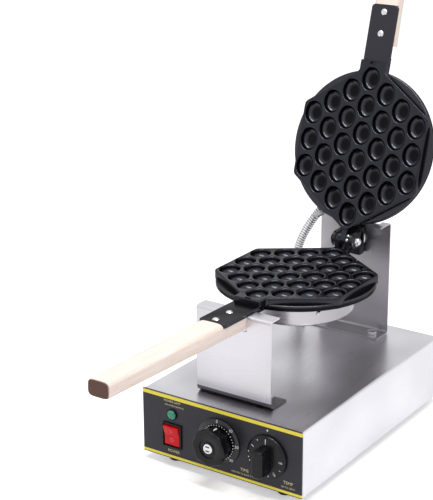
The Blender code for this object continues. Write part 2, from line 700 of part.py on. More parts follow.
def make_lamp_and_rocker(bench, frame):
    """The pilot lamp over the rocker switch, both built facing up and turned to the front."""
    place = control_place(LAMP_X, LAMP_ABOVE_LINE)
    bezel_top = SEAT_GAP + LAMP_BEZEL_THICKNESS
    body = (
        (0, SEAT_GAP + LAMP_BEZEL_THICKNESS / 2),
        (LAMP_LENS_RADIUS + HOLE_GAP, SEAT_GAP + LAMP_BEZEL_THICKNESS / 2),
        (LAMP_LENS_RADIUS + HOLE_GAP, bezel_top),
        (LAMP_BEZEL_RADIUS, bezel_top),
        (LAMP_BEZEL_RADIUS, SEAT_GAP),
        (LAMP_BODY_RADIUS, SEAT_GAP),
        (LAMP_BODY_RADIUS, -LAMP_BODY_LENGTH),
        (0, -LAMP_BODY_LENGTH),
    )
    turned(bench, "pilot_lamp_body", body, "black_plastic", frame, place, FACING_FRONT, SMALL_STEPS)
    lens_bottom = SEAT_GAP + LAMP_BEZEL_THICKNESS / 2 + SEAT_GAP
    lens = [
        (LAMP_LENS_RADIUS * math.cos(a), lens_bottom + LAMP_LENS_HEIGHT * math.sin(a))
        for a in np.radians(np.linspace(90, 0, BEND_STEPS + 1))
    ]
    lens[0] = (0, lens[0][1])
    lens.append((0, lens_bottom))
    turned(bench, "pilot_lamp_lens", lens, "green_lens", frame, place, FACING_FRONT, SMALL_STEPS)

    place = control_place(ROCKER_X, -ROCKER_BELOW_LINE)
    lip = box(
        (-ROCKER_FRAME_WIDTH / 2, -ROCKER_FRAME_HEIGHT / 2, SEAT_GAP),
        (ROCKER_FRAME_WIDTH / 2, ROCKER_FRAME_HEIGHT / 2, SEAT_GAP + ROCKER_FRAME_PROUD),
    )
    holder = bench.piece("rocker_frame", lip, "black_plastic", frame, place, FACING_FRONT)
    half_width, half_height = rocker_case_half_width(), rocker_case_half_height()
    case_top = SEAT_GAP + ROCKER_FRAME_PROUD / 2
    case = box((-half_width, -half_height, -ROCKER_CASE_DEPTH), (half_width, half_height, case_top))
    boolean(holder, bench.tool("rocker_case", case, frame, place, FACING_FRONT), "UNION")
    half_width -= ROCKER_CASE_WALL
    half_height -= ROCKER_CASE_WALL
    well_top = ROCKER_FRAME_PROUD + CUT_OVERRUN
    well = box((-half_width, -half_height, -ROCKER_WELL_DEPTH), (half_width, half_height, well_top))
    boolean(holder, bench.tool("rocker_well", well, frame, place, FACING_FRONT))

    reach = ROCKER_BUTTON_HEIGHT / 2
    dip = reach * math.tan(math.radians(ROCKER_TILT))
    side_view = [
        (reach, -ROCKER_BUTTON_BACK),
        (reach, ROCKER_BUTTON_PROUD),
        (0, ROCKER_BUTTON_PROUD - dip),
        (-reach, ROCKER_BUTTON_PROUD),
        (-reach, -ROCKER_BUTTON_BACK),
        (0, -ROCKER_BUTTON_BACK - dip),
    ]
    across = plate(side_view, ROCKER_BUTTON_WIDTH, -ROCKER_BUTTON_WIDTH / 2)
    across.transform(Matrix(((0, 0, 1), (1, 0, 0), (0, 1, 0))).to_4x4())
    pivot = bench.frame("rocker_pivot", frame, place, FACING_FRONT)
    bench.piece("rocker_button", across, "red_plastic", pivot, turn=(math.radians(ROCKER_TILT), 0, 0))


def make_timer(bench, frame):
    """A fixed dial ring, with a lobed knob on the timer's spindle in front of it."""
    place = control_place(TIMER_X)
    dial_top = SEAT_GAP + TIMER_DIAL_THICKNESS
    dial = (
        (TIMER_DIAL_RADIUS - TIMER_DIAL_EDGE, dial_top),
        (TIMER_DIAL_RADIUS, dial_top - TIMER_DIAL_EDGE),
        (TIMER_DIAL_RADIUS, SEAT_GAP),
        (SPINDLE_RADIUS + HOLE_GAP, SEAT_GAP),
        (SPINDLE_RADIUS + HOLE_GAP, dial_top),
    )
    turned(bench, "timer_dial", dial, "black_plastic", frame, place, FACING_FRONT)

    pivot = bench.frame("timer_pivot", frame, place, FACING_FRONT)
    bottom = dial_top + KNOB_RUNNING_GAP
    steps = TIMER_KNOB_LOBES * LOBE_STEPS
    outline = [
        (
            TIMER_KNOB_RADIUS * (1 + TIMER_LOBE_SHARE * math.cos(TIMER_KNOB_LOBES * a)) * math.cos(a),
            TIMER_KNOB_RADIUS * (1 + TIMER_LOBE_SHARE * math.cos(TIMER_KNOB_LOBES * a)) * math.sin(a),
        )
        for a in np.linspace(0, math.tau, steps, endpoint=False)
    ]
    shape = plate(outline, TIMER_KNOB_HEIGHT, bottom)
    narrow = 1 - TIMER_KNOB_TAPER / TIMER_KNOB_RADIUS
    for vert in shape.vertices:
        if vert.co.z > bottom + TIMER_KNOB_HEIGHT / 2:
            vert.co.x *= narrow
            vert.co.y *= narrow
    knob = bench.piece("timer_knob", shape, "black_plastic", pivot)
    bevelled(knob, TIMER_KNOB_EDGE, 2, FLAT_EDGE_ANGLE)
    top = bottom + TIMER_KNOB_HEIGHT
    cap_seat = top - TIMER_CAP_SINK
    recess = rod(TIMER_CAP_RADIUS + HOLE_GAP, cap_seat, top + CUT_OVERRUN)
    boolean(knob, bench.tool("cap_recess", recess, pivot))
    boolean(knob, bench.tool("knob_bore", spindle_bore(bottom), pivot))

    cap_bottom = cap_seat + SEAT_GAP
    cap_top = top + TIMER_CAP_PROUD
    disc = rod(TIMER_CAP_RADIUS, cap_bottom, cap_top, ROUND_STEPS)
    cap = bench.piece("timer_cap", disc, "bright_zinc", pivot)
    slot = box(
        (-TIMER_CAP_RADIUS - CUT_OVERRUN, -TIMER_CAP_SLOT / 2, cap_top - TIMER_CAP_PROUD),
        (TIMER_CAP_RADIUS + CUT_OVERRUN, TIMER_CAP_SLOT / 2, cap_top + CUT_OVERRUN),
    )
    boolean(cap, bench.tool("cap_slot", slot, pivot))
    make_switch_body(bench, frame, pivot, "timer", place, TIMER_BODY_SIDE, TIMER_BODY_DEPTH, bottom)


def spindle_bore(knob_bottom):
    top = knob_bottom + SPINDLE_IN_KNOB + HOLE_GAP
    return rod(SPINDLE_RADIUS + HOLE_GAP, knob_bottom - CUT_OVERRUN, top)


def make_switch_body(bench, frame, pivot, name, place, side, depth, knob_bottom):
    """The works behind the panel, and the spindle that comes through it into the knob."""
    half = side / 2
    back = -PANEL_THICKNESS - SEAT_GAP
    shape = box((-half, -half, back - depth), (half, half, back))
    works = bench.piece(f"{name}_body", shape, "pale_plastic", frame, place, FACING_FRONT)
    spindle_bottom = back - depth / 2
    bore = rod(SPINDLE_RADIUS + HOLE_GAP, spindle_bottom - SEAT_GAP, back + CUT_OVERRUN)
    boolean(works, bench.tool(f"{name}_bore", bore, frame, place, FACING_FRONT))
    spindle = rod(SPINDLE_RADIUS, spindle_bottom, knob_bottom + SPINDLE_IN_KNOB)
    bench.piece(f"{name}_spindle", spindle, "bright_zinc", pivot)


def make_thermostat(bench, frame):
    """A knob whose numbered skirt turns with its pointer grip."""
    place = control_place(THERMOSTAT_X)
    pivot = bench.frame("thermostat_pivot", frame, place, FACING_FRONT)
    bottom = KNOB_RUNNING_GAP
    skirt_top = bottom + THERMOSTAT_SKIRT_THICKNESS
    skirt = (
        (0, skirt_top),
        (THERMOSTAT_SKIRT_RADIUS - THERMOSTAT_SKIRT_EDGE, skirt_top),
        (THERMOSTAT_SKIRT_RADIUS, skirt_top - THERMOSTAT_SKIRT_EDGE),
        (THERMOSTAT_SKIRT_RADIUS, bottom),
        (0, bottom),
    )
    knob = turned(bench, "thermostat_knob", skirt, "black_plastic", pivot, steps=ROUND_STEPS)
    half_width = THERMOSTAT_GRIP_WIDTH / 2
    half_length = THERMOSTAT_GRIP_LENGTH / 2
    top = bottom + THERMOSTAT_GRIP_HEIGHT
    sunk = skirt_top - THERMOSTAT_SKIRT_EDGE / 2
    corners = [
        (-half_width, -half_length),
        (half_width, -half_length),
        (half_width, half_length),
        (-half_width, half_length),
    ]
    outline = softened(corners, [THERMOSTAT_GRIP_CORNER] * len(corners))
    shape = plate(outline, top - sunk, sunk)
    narrow = 1 - THERMOSTAT_GRIP_TAPER / half_width
    short = 1 - THERMOSTAT_GRIP_TAPER / half_length
    for vert in shape.vertices:
        if vert.co.z > skirt_top:
            vert.co.x *= narrow
            vert.co.y *= short
    bar = bench.tool("thermostat_grip", shape, pivot, (0, -THERMOSTAT_GRIP_BELOW_SHAFT, 0))
    bevelled(bar, THERMOSTAT_GRIP_EDGE)
    boolean(knob, bar, "UNION")
    boolean(knob, bench.tool("thermostat_knob_bore", spindle_bore(bottom), pivot))
    side, depth = THERMOSTAT_BODY_SIDE, THERMOSTAT_BODY_DEPTH
    make_switch_body(bench, frame, pivot, "thermostat", place, side, depth, bottom)


def make_wiring(bench, frame):
    """The terminal block on the floor, and the gland where the mains cord would enter."""
    floor = FOOT_HEIGHT + BASE_SHEET + SEAT_GAP
    low = (TERMINAL_X - TERMINAL_LENGTH / 2, TERMINAL_Y - TERMINAL_DEPTH / 2, floor)
    high = (TERMINAL_X + TERMINAL_LENGTH / 2, TERMINAL_Y + TERMINAL_DEPTH / 2, floor + TERMINAL_HEIGHT)
    block = bench.piece("terminal_block", box(low, high), "pale_plastic", frame)
    pitch = (TERMINAL_LENGTH - TERMINAL_RIB) / TERMINAL_POLES
    wells = bmesh.new()
    for i in range(TERMINAL_POLES):
        left = low[0] + TERMINAL_RIB + i * pitch
        add_box(
            wells,
            (left, low[1] - CUT_OVERRUN, high[2] - TERMINAL_RIB_HEIGHT),
            (left + pitch - TERMINAL_RIB, high[1] + CUT_OVERRUN, high[2] + CUT_OVERRUN),
        )
    boolean(block, bench.tool("terminal_wells", to_mesh(wells), frame))

    gland = (
        (CORD_GLAND_TIP_RADIUS, SEAT_GAP + CORD_GLAND_PROUD),
        (CORD_GLAND_RADIUS, SEAT_GAP + CORD_GLAND_FLANGE),
        (CORD_GLAND_RADIUS, SEAT_GAP),
        (CORD_GLAND_TIP_RADIUS, SEAT_GAP),
        (CORD_GLAND_TIP_RADIUS, -BASE_SHEET - CORD_GLAND_FLANGE),
        (CORD_GLAND_BORE_RADIUS, -BASE_SHEET - CORD_GLAND_FLANGE),
        (CORD_GLAND_BORE_RADIUS, SEAT_GAP + CORD_GLAND_PROUD),
    )
    place = (CORD_GLAND_X, BASE_DEPTH, FOOT_HEIGHT + CORD_GLAND_ABOVE_BASE)
    turned(bench, "mains_cord_gland", gland, "black_plastic", frame, place, FACING_BACK, SMALL_STEPS)


def front_bolt_places():
    along = FRONT_REST_Y + FRONT_REST_FOOT - FRONT_BOLT_FROM_EDGE
    return [(-FRONT_BOLT_SPACING / 2, along), (FRONT_BOLT_SPACING / 2, along)]


def rear_bolt_places():
    along = REAR_BRACKET_Y - REAR_BRACKET_FOOT + REAR_BOLT_FROM_EDGE
    return [(-REAR_BOLT_SPACING / 2, along), (REAR_BOLT_SPACING / 2, along)]


def grip_underside(along):
    """How far the grip's underside lies below the arm's top, at a distance along the arm."""
    share = (along - GRIP_START) / GRIP_LENGTH
    return GRIP_THICKNESS + (GRIP_END_THICKNESS - GRIP_THICKNESS) * share


def notch_floor():
    """The height at which the grip rests in the notch."""
    along = NECK_FRONT_Y - FRONT_REST_Y
    rise = math.tan(math.radians(ARM_RISE))
    return FACE_HEIGHT - ARM_STEP + along * rise - grip_underside(along) - SEAT_GAP


def make_brackets(bench, frame):
    half_sheet = BRACKET_SHEET / 2
    bend = BRACKET_BEND_RADIUS
    foot_level = BASE_TOP + SEAT_GAP + half_sheet
    plane = FRONT_REST_Y + half_sheet
    top = BASE_TOP + FRONT_REST_HEIGHT - half_sheet
    path = [
        (FRONT_REST_Y + FRONT_REST_FOOT, foot_level),
        (plane, foot_level),
        (plane, top),
        (FRONT_REST_Y + FRONT_REST_LEDGE, top),
    ]
    path = softened(path, (0, FRONT_FOOT_BEND_RADIUS, bend, 0), closed=False)
    rest = folded_sheet(bench, "front_rest", path, FRONT_REST_WIDTH, frame)
    half_notch = ARM_WIDTH / 2 + NOTCH_SIDE_GAP
    notch = box(
        (-half_notch, FRONT_REST_Y - CUT_OVERRUN, notch_floor()),
        (half_notch, FRONT_REST_Y + FRONT_REST_LEDGE + CUT_OVERRUN, top + BRACKET_SHEET + CUT_OVERRUN),
    )
    boolean(rest, bench.tool("handle_notch", notch, frame))
    boolean(rest, bench.tool("front_bolt_drill", bolt_drill(front_bolt_places()), frame))

    plane = REAR_BRACKET_Y + half_sheet
    top = BASE_TOP + REAR_BRACKET_HEIGHT - half_sheet
    path = [
        (REAR_BRACKET_Y - REAR_BRACKET_FOOT, foot_level),
        (plane, foot_level),
        (plane, top),
        (REAR_BRACKET_Y - REAR_BRACKET_EAR_DEPTH, top),
    ]
    path = softened(path, (0, bend, bend, 0), closed=False)
    post = folded_sheet(bench, "rear_bracket", path, REAR_BRACKET_WIDTH, frame)
    half_gap = REAR_BRACKET_WIDTH / 2 - REAR_BRACKET_EAR_WIDTH
    gap = box(
        (-half_gap, REAR_BRACKET_Y - REAR_BRACKET_EAR_DEPTH - CUT_OVERRUN, top - bend - half_sheet),
        (half_gap, PLATE_REAR + CUT_OVERRUN, top + CUT_OVERRUN),
    )
    boolean(post, bench.tool("ear_gap", gap, frame))
    boolean(post, bench.tool("rear_bolt_drill", bolt_drill(rear_bolt_places()), frame))
    seat = rod(BUSH_RADIUS + HOLE_GAP, -CUT_OVERRUN, CUT_OVERRUN, ROUND_STEPS)
    seat_place = (0, plane, PIN_HEIGHT - SHAFT_BELOW_PIN)
    boolean(post, bench.tool("bush_seat", seat, frame, seat_place, FACING_BACK))

    seat_level = BASE_TOP + SEAT_GAP + BRACKET_SHEET + SEAT_GAP
    bolts = {"front_rest_bolt": front_bolt_places(), "rear_bracket_bolt": rear_bolt_places()}
    for name, places in bolts.items():
        for side, (across, along) in zip(("left", "right"), places):
            make_bolt(bench, f"{name}_{side}", frame, (across, along, seat_level))


def bolt_drill(places):
    drill = bmesh.new()
    for centre in places:
        low = BASE_TOP - CUT_OVERRUN
        high = BASE_TOP + BRACKET_SHEET + CUT_OVERRUN
        add_rod(drill, BOLT_SHANK_RADIUS + HOLE_GAP, low, high, SCREW_STEPS, centre)
    return to_mesh(drill)


def make_bolt(bench, name, frame, place):
    """A hexagon bolt standing on its seat."""
    head = rod(BOLT_HEAD_RADIUS, 0, BOLT_HEAD_HEIGHT, HEXAGON_SIDES)
    bolt = bench.piece(name, head, "bright_zinc", frame, place)
    bevelled(bolt, BOLT_HEAD_EDGE, 1, FLAT_EDGE_ANGLE)
    shank = rod(BOLT_SHANK_RADIUS, -BOLT_LENGTH, BOLT_HEAD_HEIGHT / 2, SCREW_STEPS)
    boolean(bolt, bench.tool(f"{name}_shank", shank, frame, place), "UNION")


def make_swivel(bench, frame):
    """The yoke that holds the hinge pin, and its shaft through a bush in the rear bracket."""
    place = (0, PIN_Y, PIN_HEIGHT)
    block = [
        (YOKE_FRONT, -YOKE_BELOW_PIN),
        (YOKE_FRONT, YOKE_ABOVE_PIN - YOKE_CHAMFER_HEIGHT),
        (YOKE_FRONT + YOKE_CHAMFER_DEPTH, YOKE_ABOVE_PIN),
        (YOKE_REAR, YOKE_ABOVE_PIN),
        (YOKE_REAR, -YOKE_BELOW_PIN),
    ]
    shape = side_plate(block, 2 * YOKE_HALF_WIDTH, -YOKE_HALF_WIDTH)
    yoke = bench.piece("swivel_yoke", shape, "black_steel", frame, place)
    bevelled(yoke, YOKE_EDGE)
    outline = [
        (YOKE_FRONT + YOKE_DEPTH / 2, -KNUCKLE_RADIUS),
        (YOKE_FRONT + YOKE_DEPTH / 2, KNUCKLE_RADIUS),
        *arc((0, 0), KNUCKLE_RADIUS, 90, 270, SMALL_STEPS // 2),
    ]
    for side, start in (("left", -YOKE_HALF_WIDTH), ("right", YOKE_EAR_START)):
        ear = bench.tool(f"yoke_ear_{side}", side_plate(outline, YOKE_EAR_WIDTH, start), frame, place)
        boolean(yoke, ear, "UNION")
    shaft_length = PLATE_REAR + BUSH_LENGTH + SWIVEL_NUT_LENGTH + SEAT_GAP - PIN_Y
    shaft = rod(SHAFT_RADIUS, YOKE_FRONT + YOKE_DEPTH / 2, shaft_length, ROUND_STEPS)
    shaft_place = (0, PIN_Y, PIN_HEIGHT - SHAFT_BELOW_PIN)
    boolean(yoke, bench.tool("swivel_shaft", shaft, frame, shaft_place, FACING_BACK), "UNION")
    bore = rod(PIN_RADIUS + HOLE_GAP, -YOKE_HALF_WIDTH - CUT_OVERRUN, YOKE_HALF_WIDTH + CUT_OVERRUN)
    boolean(yoke, bench.tool("yoke_bore", bore, frame, place, FACING_RIGHT))

    yoke_back = YOKE_REAR + SEAT_GAP
    plate_front = REAR_BRACKET_Y - PIN_Y - SEAT_GAP
    plate_back = PLATE_REAR - PIN_Y
    bush = (
        (BUSH_RADIUS, plate_back + BUSH_LENGTH),
        (BUSH_RADIUS, plate_front),
        (BUSH_FLANGE_RADIUS, plate_front),
        (BUSH_FLANGE_RADIUS, yoke_back),
        (SHAFT_RADIUS + HOLE_GAP, yoke_back),
        (SHAFT_RADIUS + HOLE_GAP, plate_back + BUSH_LENGTH),
    )
    turned(bench, "swivel_bush", bush, "bright_zinc", frame, shaft_place, FACING_BACK)
    nut_front = plate_back + BUSH_LENGTH + SEAT_GAP
    nut_back = nut_front + SWIVEL_NUT_LENGTH - SEAT_GAP * 2
    nut_shape = rod(SWIVEL_NUT_RADIUS, nut_front, nut_back, HEXAGON_SIDES)
    nut = bench.piece("swivel_nut", nut_shape, "bright_zinc", frame, shaft_place, FACING_BACK)
    bevelled(nut, YOKE_EDGE, 1, FLAT_EDGE_ANGLE)
    bore = rod(SHAFT_RADIUS + HOLE_GAP, nut_front - CUT_OVERRUN, nut_back + CUT_OVERRUN, ROUND_STEPS)
    boolean(nut, bench.tool("nut_bore", bore, frame, shaft_place, FACING_BACK))

    head_start = YOKE_HALF_WIDTH + SEAT_GAP
    pin = bench.piece(
        "hinge_pin", rod(PIN_RADIUS, -head_start - PIN_HEAD_LENGTH / 2, head_start + HINGE_NUT_LENGTH / 2),
        "bright_zinc", frame, place, FACING_RIGHT,
    )
    head = rod(PIN_HEAD_RADIUS, -head_start - PIN_HEAD_LENGTH, -head_start, HEXAGON_SIDES)
    boolean(pin, bench.tool("pin_head", head, frame, place, FACING_RIGHT), "UNION")
    dome = [
        (HINGE_NUT_RADIUS * math.cos(a), head_start + HINGE_NUT_LENGTH + HINGE_NUT_DOME * math.sin(a))
        for a in np.radians(np.linspace(90, 0, BEND_STEPS + 1))
    ]
    dome[0] = (0, dome[0][1])
    nut_profile = [
        *dome,
        (HINGE_NUT_RADIUS, head_start),
        (PIN_RADIUS + HOLE_GAP, head_start),
        (PIN_RADIUS + HOLE_GAP, head_start + HINGE_NUT_LENGTH / 2 + SEAT_GAP),
        (0, head_start + HINGE_NUT_LENGTH / 2 + SEAT_GAP),
    ]
    turned(bench, "hinge_nut", nut_profile, "bright_zinc", frame, place, FACING_RIGHT, SMALL_STEPS)


def side_plate(outline, thickness, start):
    """A flat plate whose outline lies in YZ, with its thickness along X from the start."""
    shape = plate(outline, thickness, start)
    shape.transform(Matrix(((0, 0, 1), (1, 0, 0), (0, 1, 0))).to_4x4())
    return shape


def cell_centres():
    middle = (len(CELL_ROWS) - 1) / 2
    for column, count in enumerate(CELL_ROWS):
        for row in range(count):
            yield ((column - middle) * CELL_PITCH_X, (row - (count - 1) / 2) * CELL_PITCH_Y)


def cell_cutters():
    """One half-buried ball for each cell, flattened to the cell's depth."""
    shape = bmesh.new()
    for across, along in cell_centres():
        place = Matrix.Translation((across, along, CELL_LIP))
        size = Matrix.Diagonal((CELL_RADIUS, CELL_RADIUS, CELL_DEPTH + CELL_LIP, 1))
        bmesh.ops.create_uvsphere(
            shape, u_segments=CELL_STEPS, v_segments=CELL_RINGS * 2, radius=1, matrix=place @ size
        )
    return to_mesh(shape, CELL_SMOOTH_ANGLE)


def mould_outline():
    """The hexagon of the cooking face with the neck at its front, its rear point cut short."""
    side, corner, tip = MOULD_HALF_WIDTH, MOULD_SIDE_HALF_LENGTH, MOULD_TIP_REACH
    rear_half = side * (tip - MOULD_REAR_REACH) / (tip - corner)
    neck = ARM_WIDTH / 2
    neck_root = tip - (tip - corner) * neck / side
    right_side = [
        (neck, -NECK_REACH),
        (neck, -neck_root),
        (side, -corner),
        (side, corner),
        (rear_half, MOULD_REAR_REACH),
    ]
    return right_side + [(-across, along) for across, along in reversed(right_side)]


def pan_ear_outline():
    """An ear rising behind the cooking face to the pin; Y and Z in the mould's frame."""
    start = PIN_BEHIND_CENTRE - KNUCKLE_ROOT_LENGTH
    front = PIN_BEHIND_CENTRE - KNUCKLE_RADIUS
    pin = (PIN_BEHIND_CENTRE, PIN_ABOVE_FACE)
    around = arc(pin, KNUCKLE_RADIUS, 180, PAN_EAR_END_ANGLE, SMALL_STEPS // 2)
    return [
        (start, -PAN_ROOT_DEPTH),
        (start, -KNUCKLE_ROOT_TOP),
        (front - KNUCKLE_ROOT_TOP, -KNUCKLE_ROOT_TOP),
        *around,
        (front - KNUCKLE_ROOT_TOP, -PAN_ROOT_DEPTH),
    ]


def lid_knuckle_outline():
    """The single knuckle of the lid, whose pin lies behind its own face."""
    start = PIN_BEHIND_CENTRE - KNUCKLE_ROOT_LENGTH
    pin = (PIN_BEHIND_CENTRE, FACE_GAP_CLOSED - PIN_ABOVE_FACE)
    around = arc(pin, KNUCKLE_RADIUS, LID_EAR_START_ANGLE, LID_EAR_END_ANGLE, SMALL_STEPS // 2)
    return [
        (start, -LID_ROOT_DEPTH),
        (start, -KNUCKLE_ROOT_TOP),
        *around,
        (PIN_BEHIND_CENTRE - 2 * KNUCKLE_RADIUS, -LID_ROOT_DEPTH),
    ]


def lug_reach():
    """The flat outer side of a cover lug, clear of the round wall at its corners."""
    inner = COVER_RADIUS - COVER_SHEET - SEAT_GAP
    return math.sqrt(inner**2 - (LUG_WIDTH / 2) ** 2)


def make_mould(bench, name, face, mirror, ears, pin_level):
    """One casting: hexagonal face with its bubbles, round rim, neck, arm, lugs and hinge ears."""
    deep = RIM_BELOW_FACE + RIM_THICKNESS / 2
    mould = bench.piece(f"{name}_mould", plate(mould_outline(), deep, -deep), "cast_black", face)
    edge = RIM_EDGE_RADIUS
    rim_profile = (
        (0, -RIM_BELOW_FACE),
        *arc((RIM_RADIUS - edge, -RIM_BELOW_FACE - edge), edge, 90, 0, 2),
        (RIM_RADIUS, -RIM_BACK),
        (0, -RIM_BACK),
    )
    add_turned_tool(bench, mould, f"{name}_rim", rim_profile, face, RIM_STEPS, "UNION")

    extras = bmesh.new()
    add_box(
        extras,
        (-ARM_WIDTH / 2 + edge, -NECK_REACH + edge, -NECK_DEPTH),
        (ARM_WIDTH / 2 - edge, -RIM_RADIUS + NECK_DEPTH, -RIM_BELOW_FACE / 2),
    )
    boolean(mould, bench.tool(f"{name}_neck", to_mesh(extras), face), "UNION")
    tip_lug = box(
        (-TIP_LUG_HALF_WIDTH, TIP_LUG_REACH - TIP_LUG_LENGTH, -RIM_BACK + edge / 2),
        (TIP_LUG_HALF_WIDTH, TIP_LUG_REACH, -RIM_BELOW_FACE / 2),
    )
    boolean(mould, bench.tool(f"{name}_tip_lug", tip_lug, face), "UNION")
    outline = softened(
        [
            (-ARM_WIDTH / 2, -ARM_LENGTH),
            (ARM_WIDTH / 2, -ARM_LENGTH),
            (ARM_WIDTH / 2, NECK_DEPTH),
            (-ARM_WIDTH / 2, NECK_DEPTH),
        ],
        (ARM_CORNER_RADIUS, ARM_CORNER_RADIUS, 0, 0),
    )
    arm = arm_frame(bench, name, face)
    arm_shape = plate(outline, ARM_THICKNESS, -ARM_THICKNESS)
    boolean(mould, bench.tool(f"{name}_arm", arm_shape, arm), "UNION")
    for i, (start, width, outline) in enumerate(ears):
        ear = side_plate(outline, width, start)
        boolean(mould, bench.tool(f"{name}_ear_{i}", ear, face), "UNION")
    lugs = bmesh.new()
    for angle in COVER_SCREW_ANGLES:
        made = add_box(
            lugs,
            (lug_reach() - LUG_THICKNESS, -LUG_WIDTH / 2, -RIM_BACK - LUG_HEIGHT),
            (lug_reach(), LUG_WIDTH / 2, -RIM_BACK + RIM_THICKNESS / 2),
        )
        spin = Matrix.Rotation(mirrored(angle, mirror), 4, "Z")
        bmesh.ops.transform(lugs, matrix=spin, verts=made)
    boolean(mould, bench.tool(f"{name}_lugs", to_mesh(lugs), face), "UNION")

    boolean(mould, bench.tool(f"{name}_cells", cell_cutters(), face))
    recess = box(
        (-RECESS_WIDTH / 2, -RECESS_REACH - RECESS_LENGTH / 2, -RECESS_DEPTH),
        (RECESS_WIDTH / 2, -RECESS_REACH + RECESS_LENGTH / 2, CUT_OVERRUN),
    )
    boolean(mould, bench.tool(f"{name}_recess", recess, face))
    drill = bmesh.new()
    for along in GRIP_SCREW_PLACES:
        low = -ARM_THICKNESS - CUT_OVERRUN
        add_rod(drill, GRIP_SCREW_SHANK_RADIUS + HOLE_GAP, low, CUT_OVERRUN, SCREW_STEPS, (0, -along))
    boolean(mould, bench.tool(f"{name}_arm_drill", to_mesh(drill), arm))
    reach = YOKE_HALF_WIDTH + CUT_OVERRUN
    bore = rod(PIN_RADIUS + HOLE_GAP, -reach, reach)
    bore_place = (0, PIN_BEHIND_CENTRE, pin_level)
    boolean(mould, bench.tool(f"{name}_pin_bore", bore, face, bore_place, FACING_RIGHT))
    for angle in COVER_SCREW_ANGLES:
        tip = -COVER_SCREW_LENGTH - SEAT_GAP
        shape = rod(COVER_SCREW_SHANK_RADIUS + HOLE_GAP, tip, CUT_OVERRUN, SCREW_STEPS)
        place, turn = radial(mirrored(angle, mirror), COVER_SCREW_BELOW_RIM)
        boolean(mould, bench.tool(f"{name}_lug_drill_{angle}", shape, face, place, turn))
    return arm


def add_turned_tool(bench, piece, name, profile, frame, steps, operation):
    """Turns a profile and joins it to the piece, or cuts it away."""
    shape = bmesh.new()
    shape.from_mesh(line_mesh([(radius, 0, height) for radius, height in profile]))
    bmesh.ops.spin(
        shape, geom=shape.verts[:] + shape.edges[:], axis=(0, 0, 1), cent=(0, 0, 0),
        angle=math.tau, steps=steps, use_merge=False,
    )
    bmesh.ops.remove_doubles(shape, verts=shape.verts, dist=MERGE_DISTANCE)
    boolean(piece, bench.tool(name, to_mesh(shape), frame), operation)


def mirrored(angle, mirror):
    """The angle in radians, reflected across the YZ plane for the lid, which is turned over."""
    return math.radians(180 - angle if mirror else angle)


def radial(angle, below_rim):
    """The place on the cover's wall and the turn that points a piece straight out of it."""
    place = (COVER_RADIUS * math.cos(angle), COVER_RADIUS * math.sin(angle), -RIM_BACK - below_rim)
    return place, (0, math.radians(90), angle)


def arm_frame(bench, name, face):
    """The tilted frame of an arm: its origin at the neck's step, Z out of the arm's top."""
    place = (0, -NECK_REACH, -ARM_STEP)
    return bench.frame(f"{name}_arm_frame", face, place, (math.radians(-ARM_RISE), 0, 0))


def make_grip(bench, name, arm):
    """A tapered wooden grip, cut away where it laps under the arm, and its two screws."""
    start, end = -GRIP_START, -GRIP_START - GRIP_LENGTH
    shape = bmesh.new()
    add_box(shape, (-GRIP_WIDTH / 2, end, -GRIP_THICKNESS), (GRIP_WIDTH / 2, start, 0))
    far = [vert for vert in shape.verts if vert.co.y < (start + end) / 2]
    for vert in far:
        vert.co.x *= GRIP_END_WIDTH / GRIP_WIDTH
        vert.co.z *= GRIP_END_THICKNESS / GRIP_THICKNESS
    long_edges = [edge for edge in shape.edges if edge.calc_length() > GRIP_LENGTH / 2]
    bevel_edges(shape, long_edges, GRIP_ROUNDING)
    grip = bench.piece(f"{name}_grip", to_mesh(shape, SMOOTH_ANGLE), "beech", arm)
    bevelled(grip, GRIP_END_EDGE, 1, FLAT_EDGE_ANGLE)
    seat = box(
        (-GRIP_WIDTH, -ARM_LENGTH - SEAT_GAP, -ARM_THICKNESS - SEAT_GAP),
        (GRIP_WIDTH, start + CUT_OVERRUN, CUT_OVERRUN),
    )
    boolean(grip, bench.tool(f"{name}_grip_seat", seat, arm))
    drill = bmesh.new()
    for along in GRIP_SCREW_PLACES:
        low = -GRIP_SCREW_LENGTH - SEAT_GAP
        add_rod(drill, GRIP_SCREW_SHANK_RADIUS + HOLE_GAP, low, CUT_OVERRUN, SCREW_STEPS, (0, -along))
    boolean(grip, bench.tool(f"{name}_grip_drill", to_mesh(drill), arm))
    for i, along in enumerate(GRIP_SCREW_PLACES):
        make_screw(
            bench, f"{name}_grip_screw_{i + 1}", arm, (0, -along, 0), (0, 0, 0),
            GRIP_SCREW_HEAD_RADIUS, GRIP_SCREW_HEAD_HEIGHT, GRIP_SCREW_SHANK_RADIUS, GRIP_SCREW_LENGTH,
        )


def make_screw(bench, name, frame, place, turn, head_radius, head_height, shank_radius, length):
    """A round-headed slotted screw, its head just clear of the face that it holds."""
    dome = [
        (head_radius * math.cos(a), SEAT_GAP + head_height * math.sin(a))
        for a in np.radians(np.linspace(90, SCREW_DOME_ANGLE, EDGE_STEPS))
    ]
    dome[0] = (0, dome[0][1])
    profile = [
        *dome,
        (head_radius, SEAT_GAP),
        (shank_radius, SEAT_GAP),
        (shank_radius, -length),
        (0, -length),
    ]
    screw = turned(bench, name, profile, "bright_zinc", frame, place, turn, SCREW_STEPS)
    top = SEAT_GAP + head_height
    slot = box(
        (-head_radius - CUT_OVERRUN, -SCREW_SLOT_WIDTH / 2, top - SCREW_SLOT_DEPTH),
        (head_radius + CUT_OVERRUN, SCREW_SLOT_WIDTH / 2, top + CUT_OVERRUN),
    )
    boolean(screw, bench.tool(f"{name}_slot", slot, frame, place, turn))


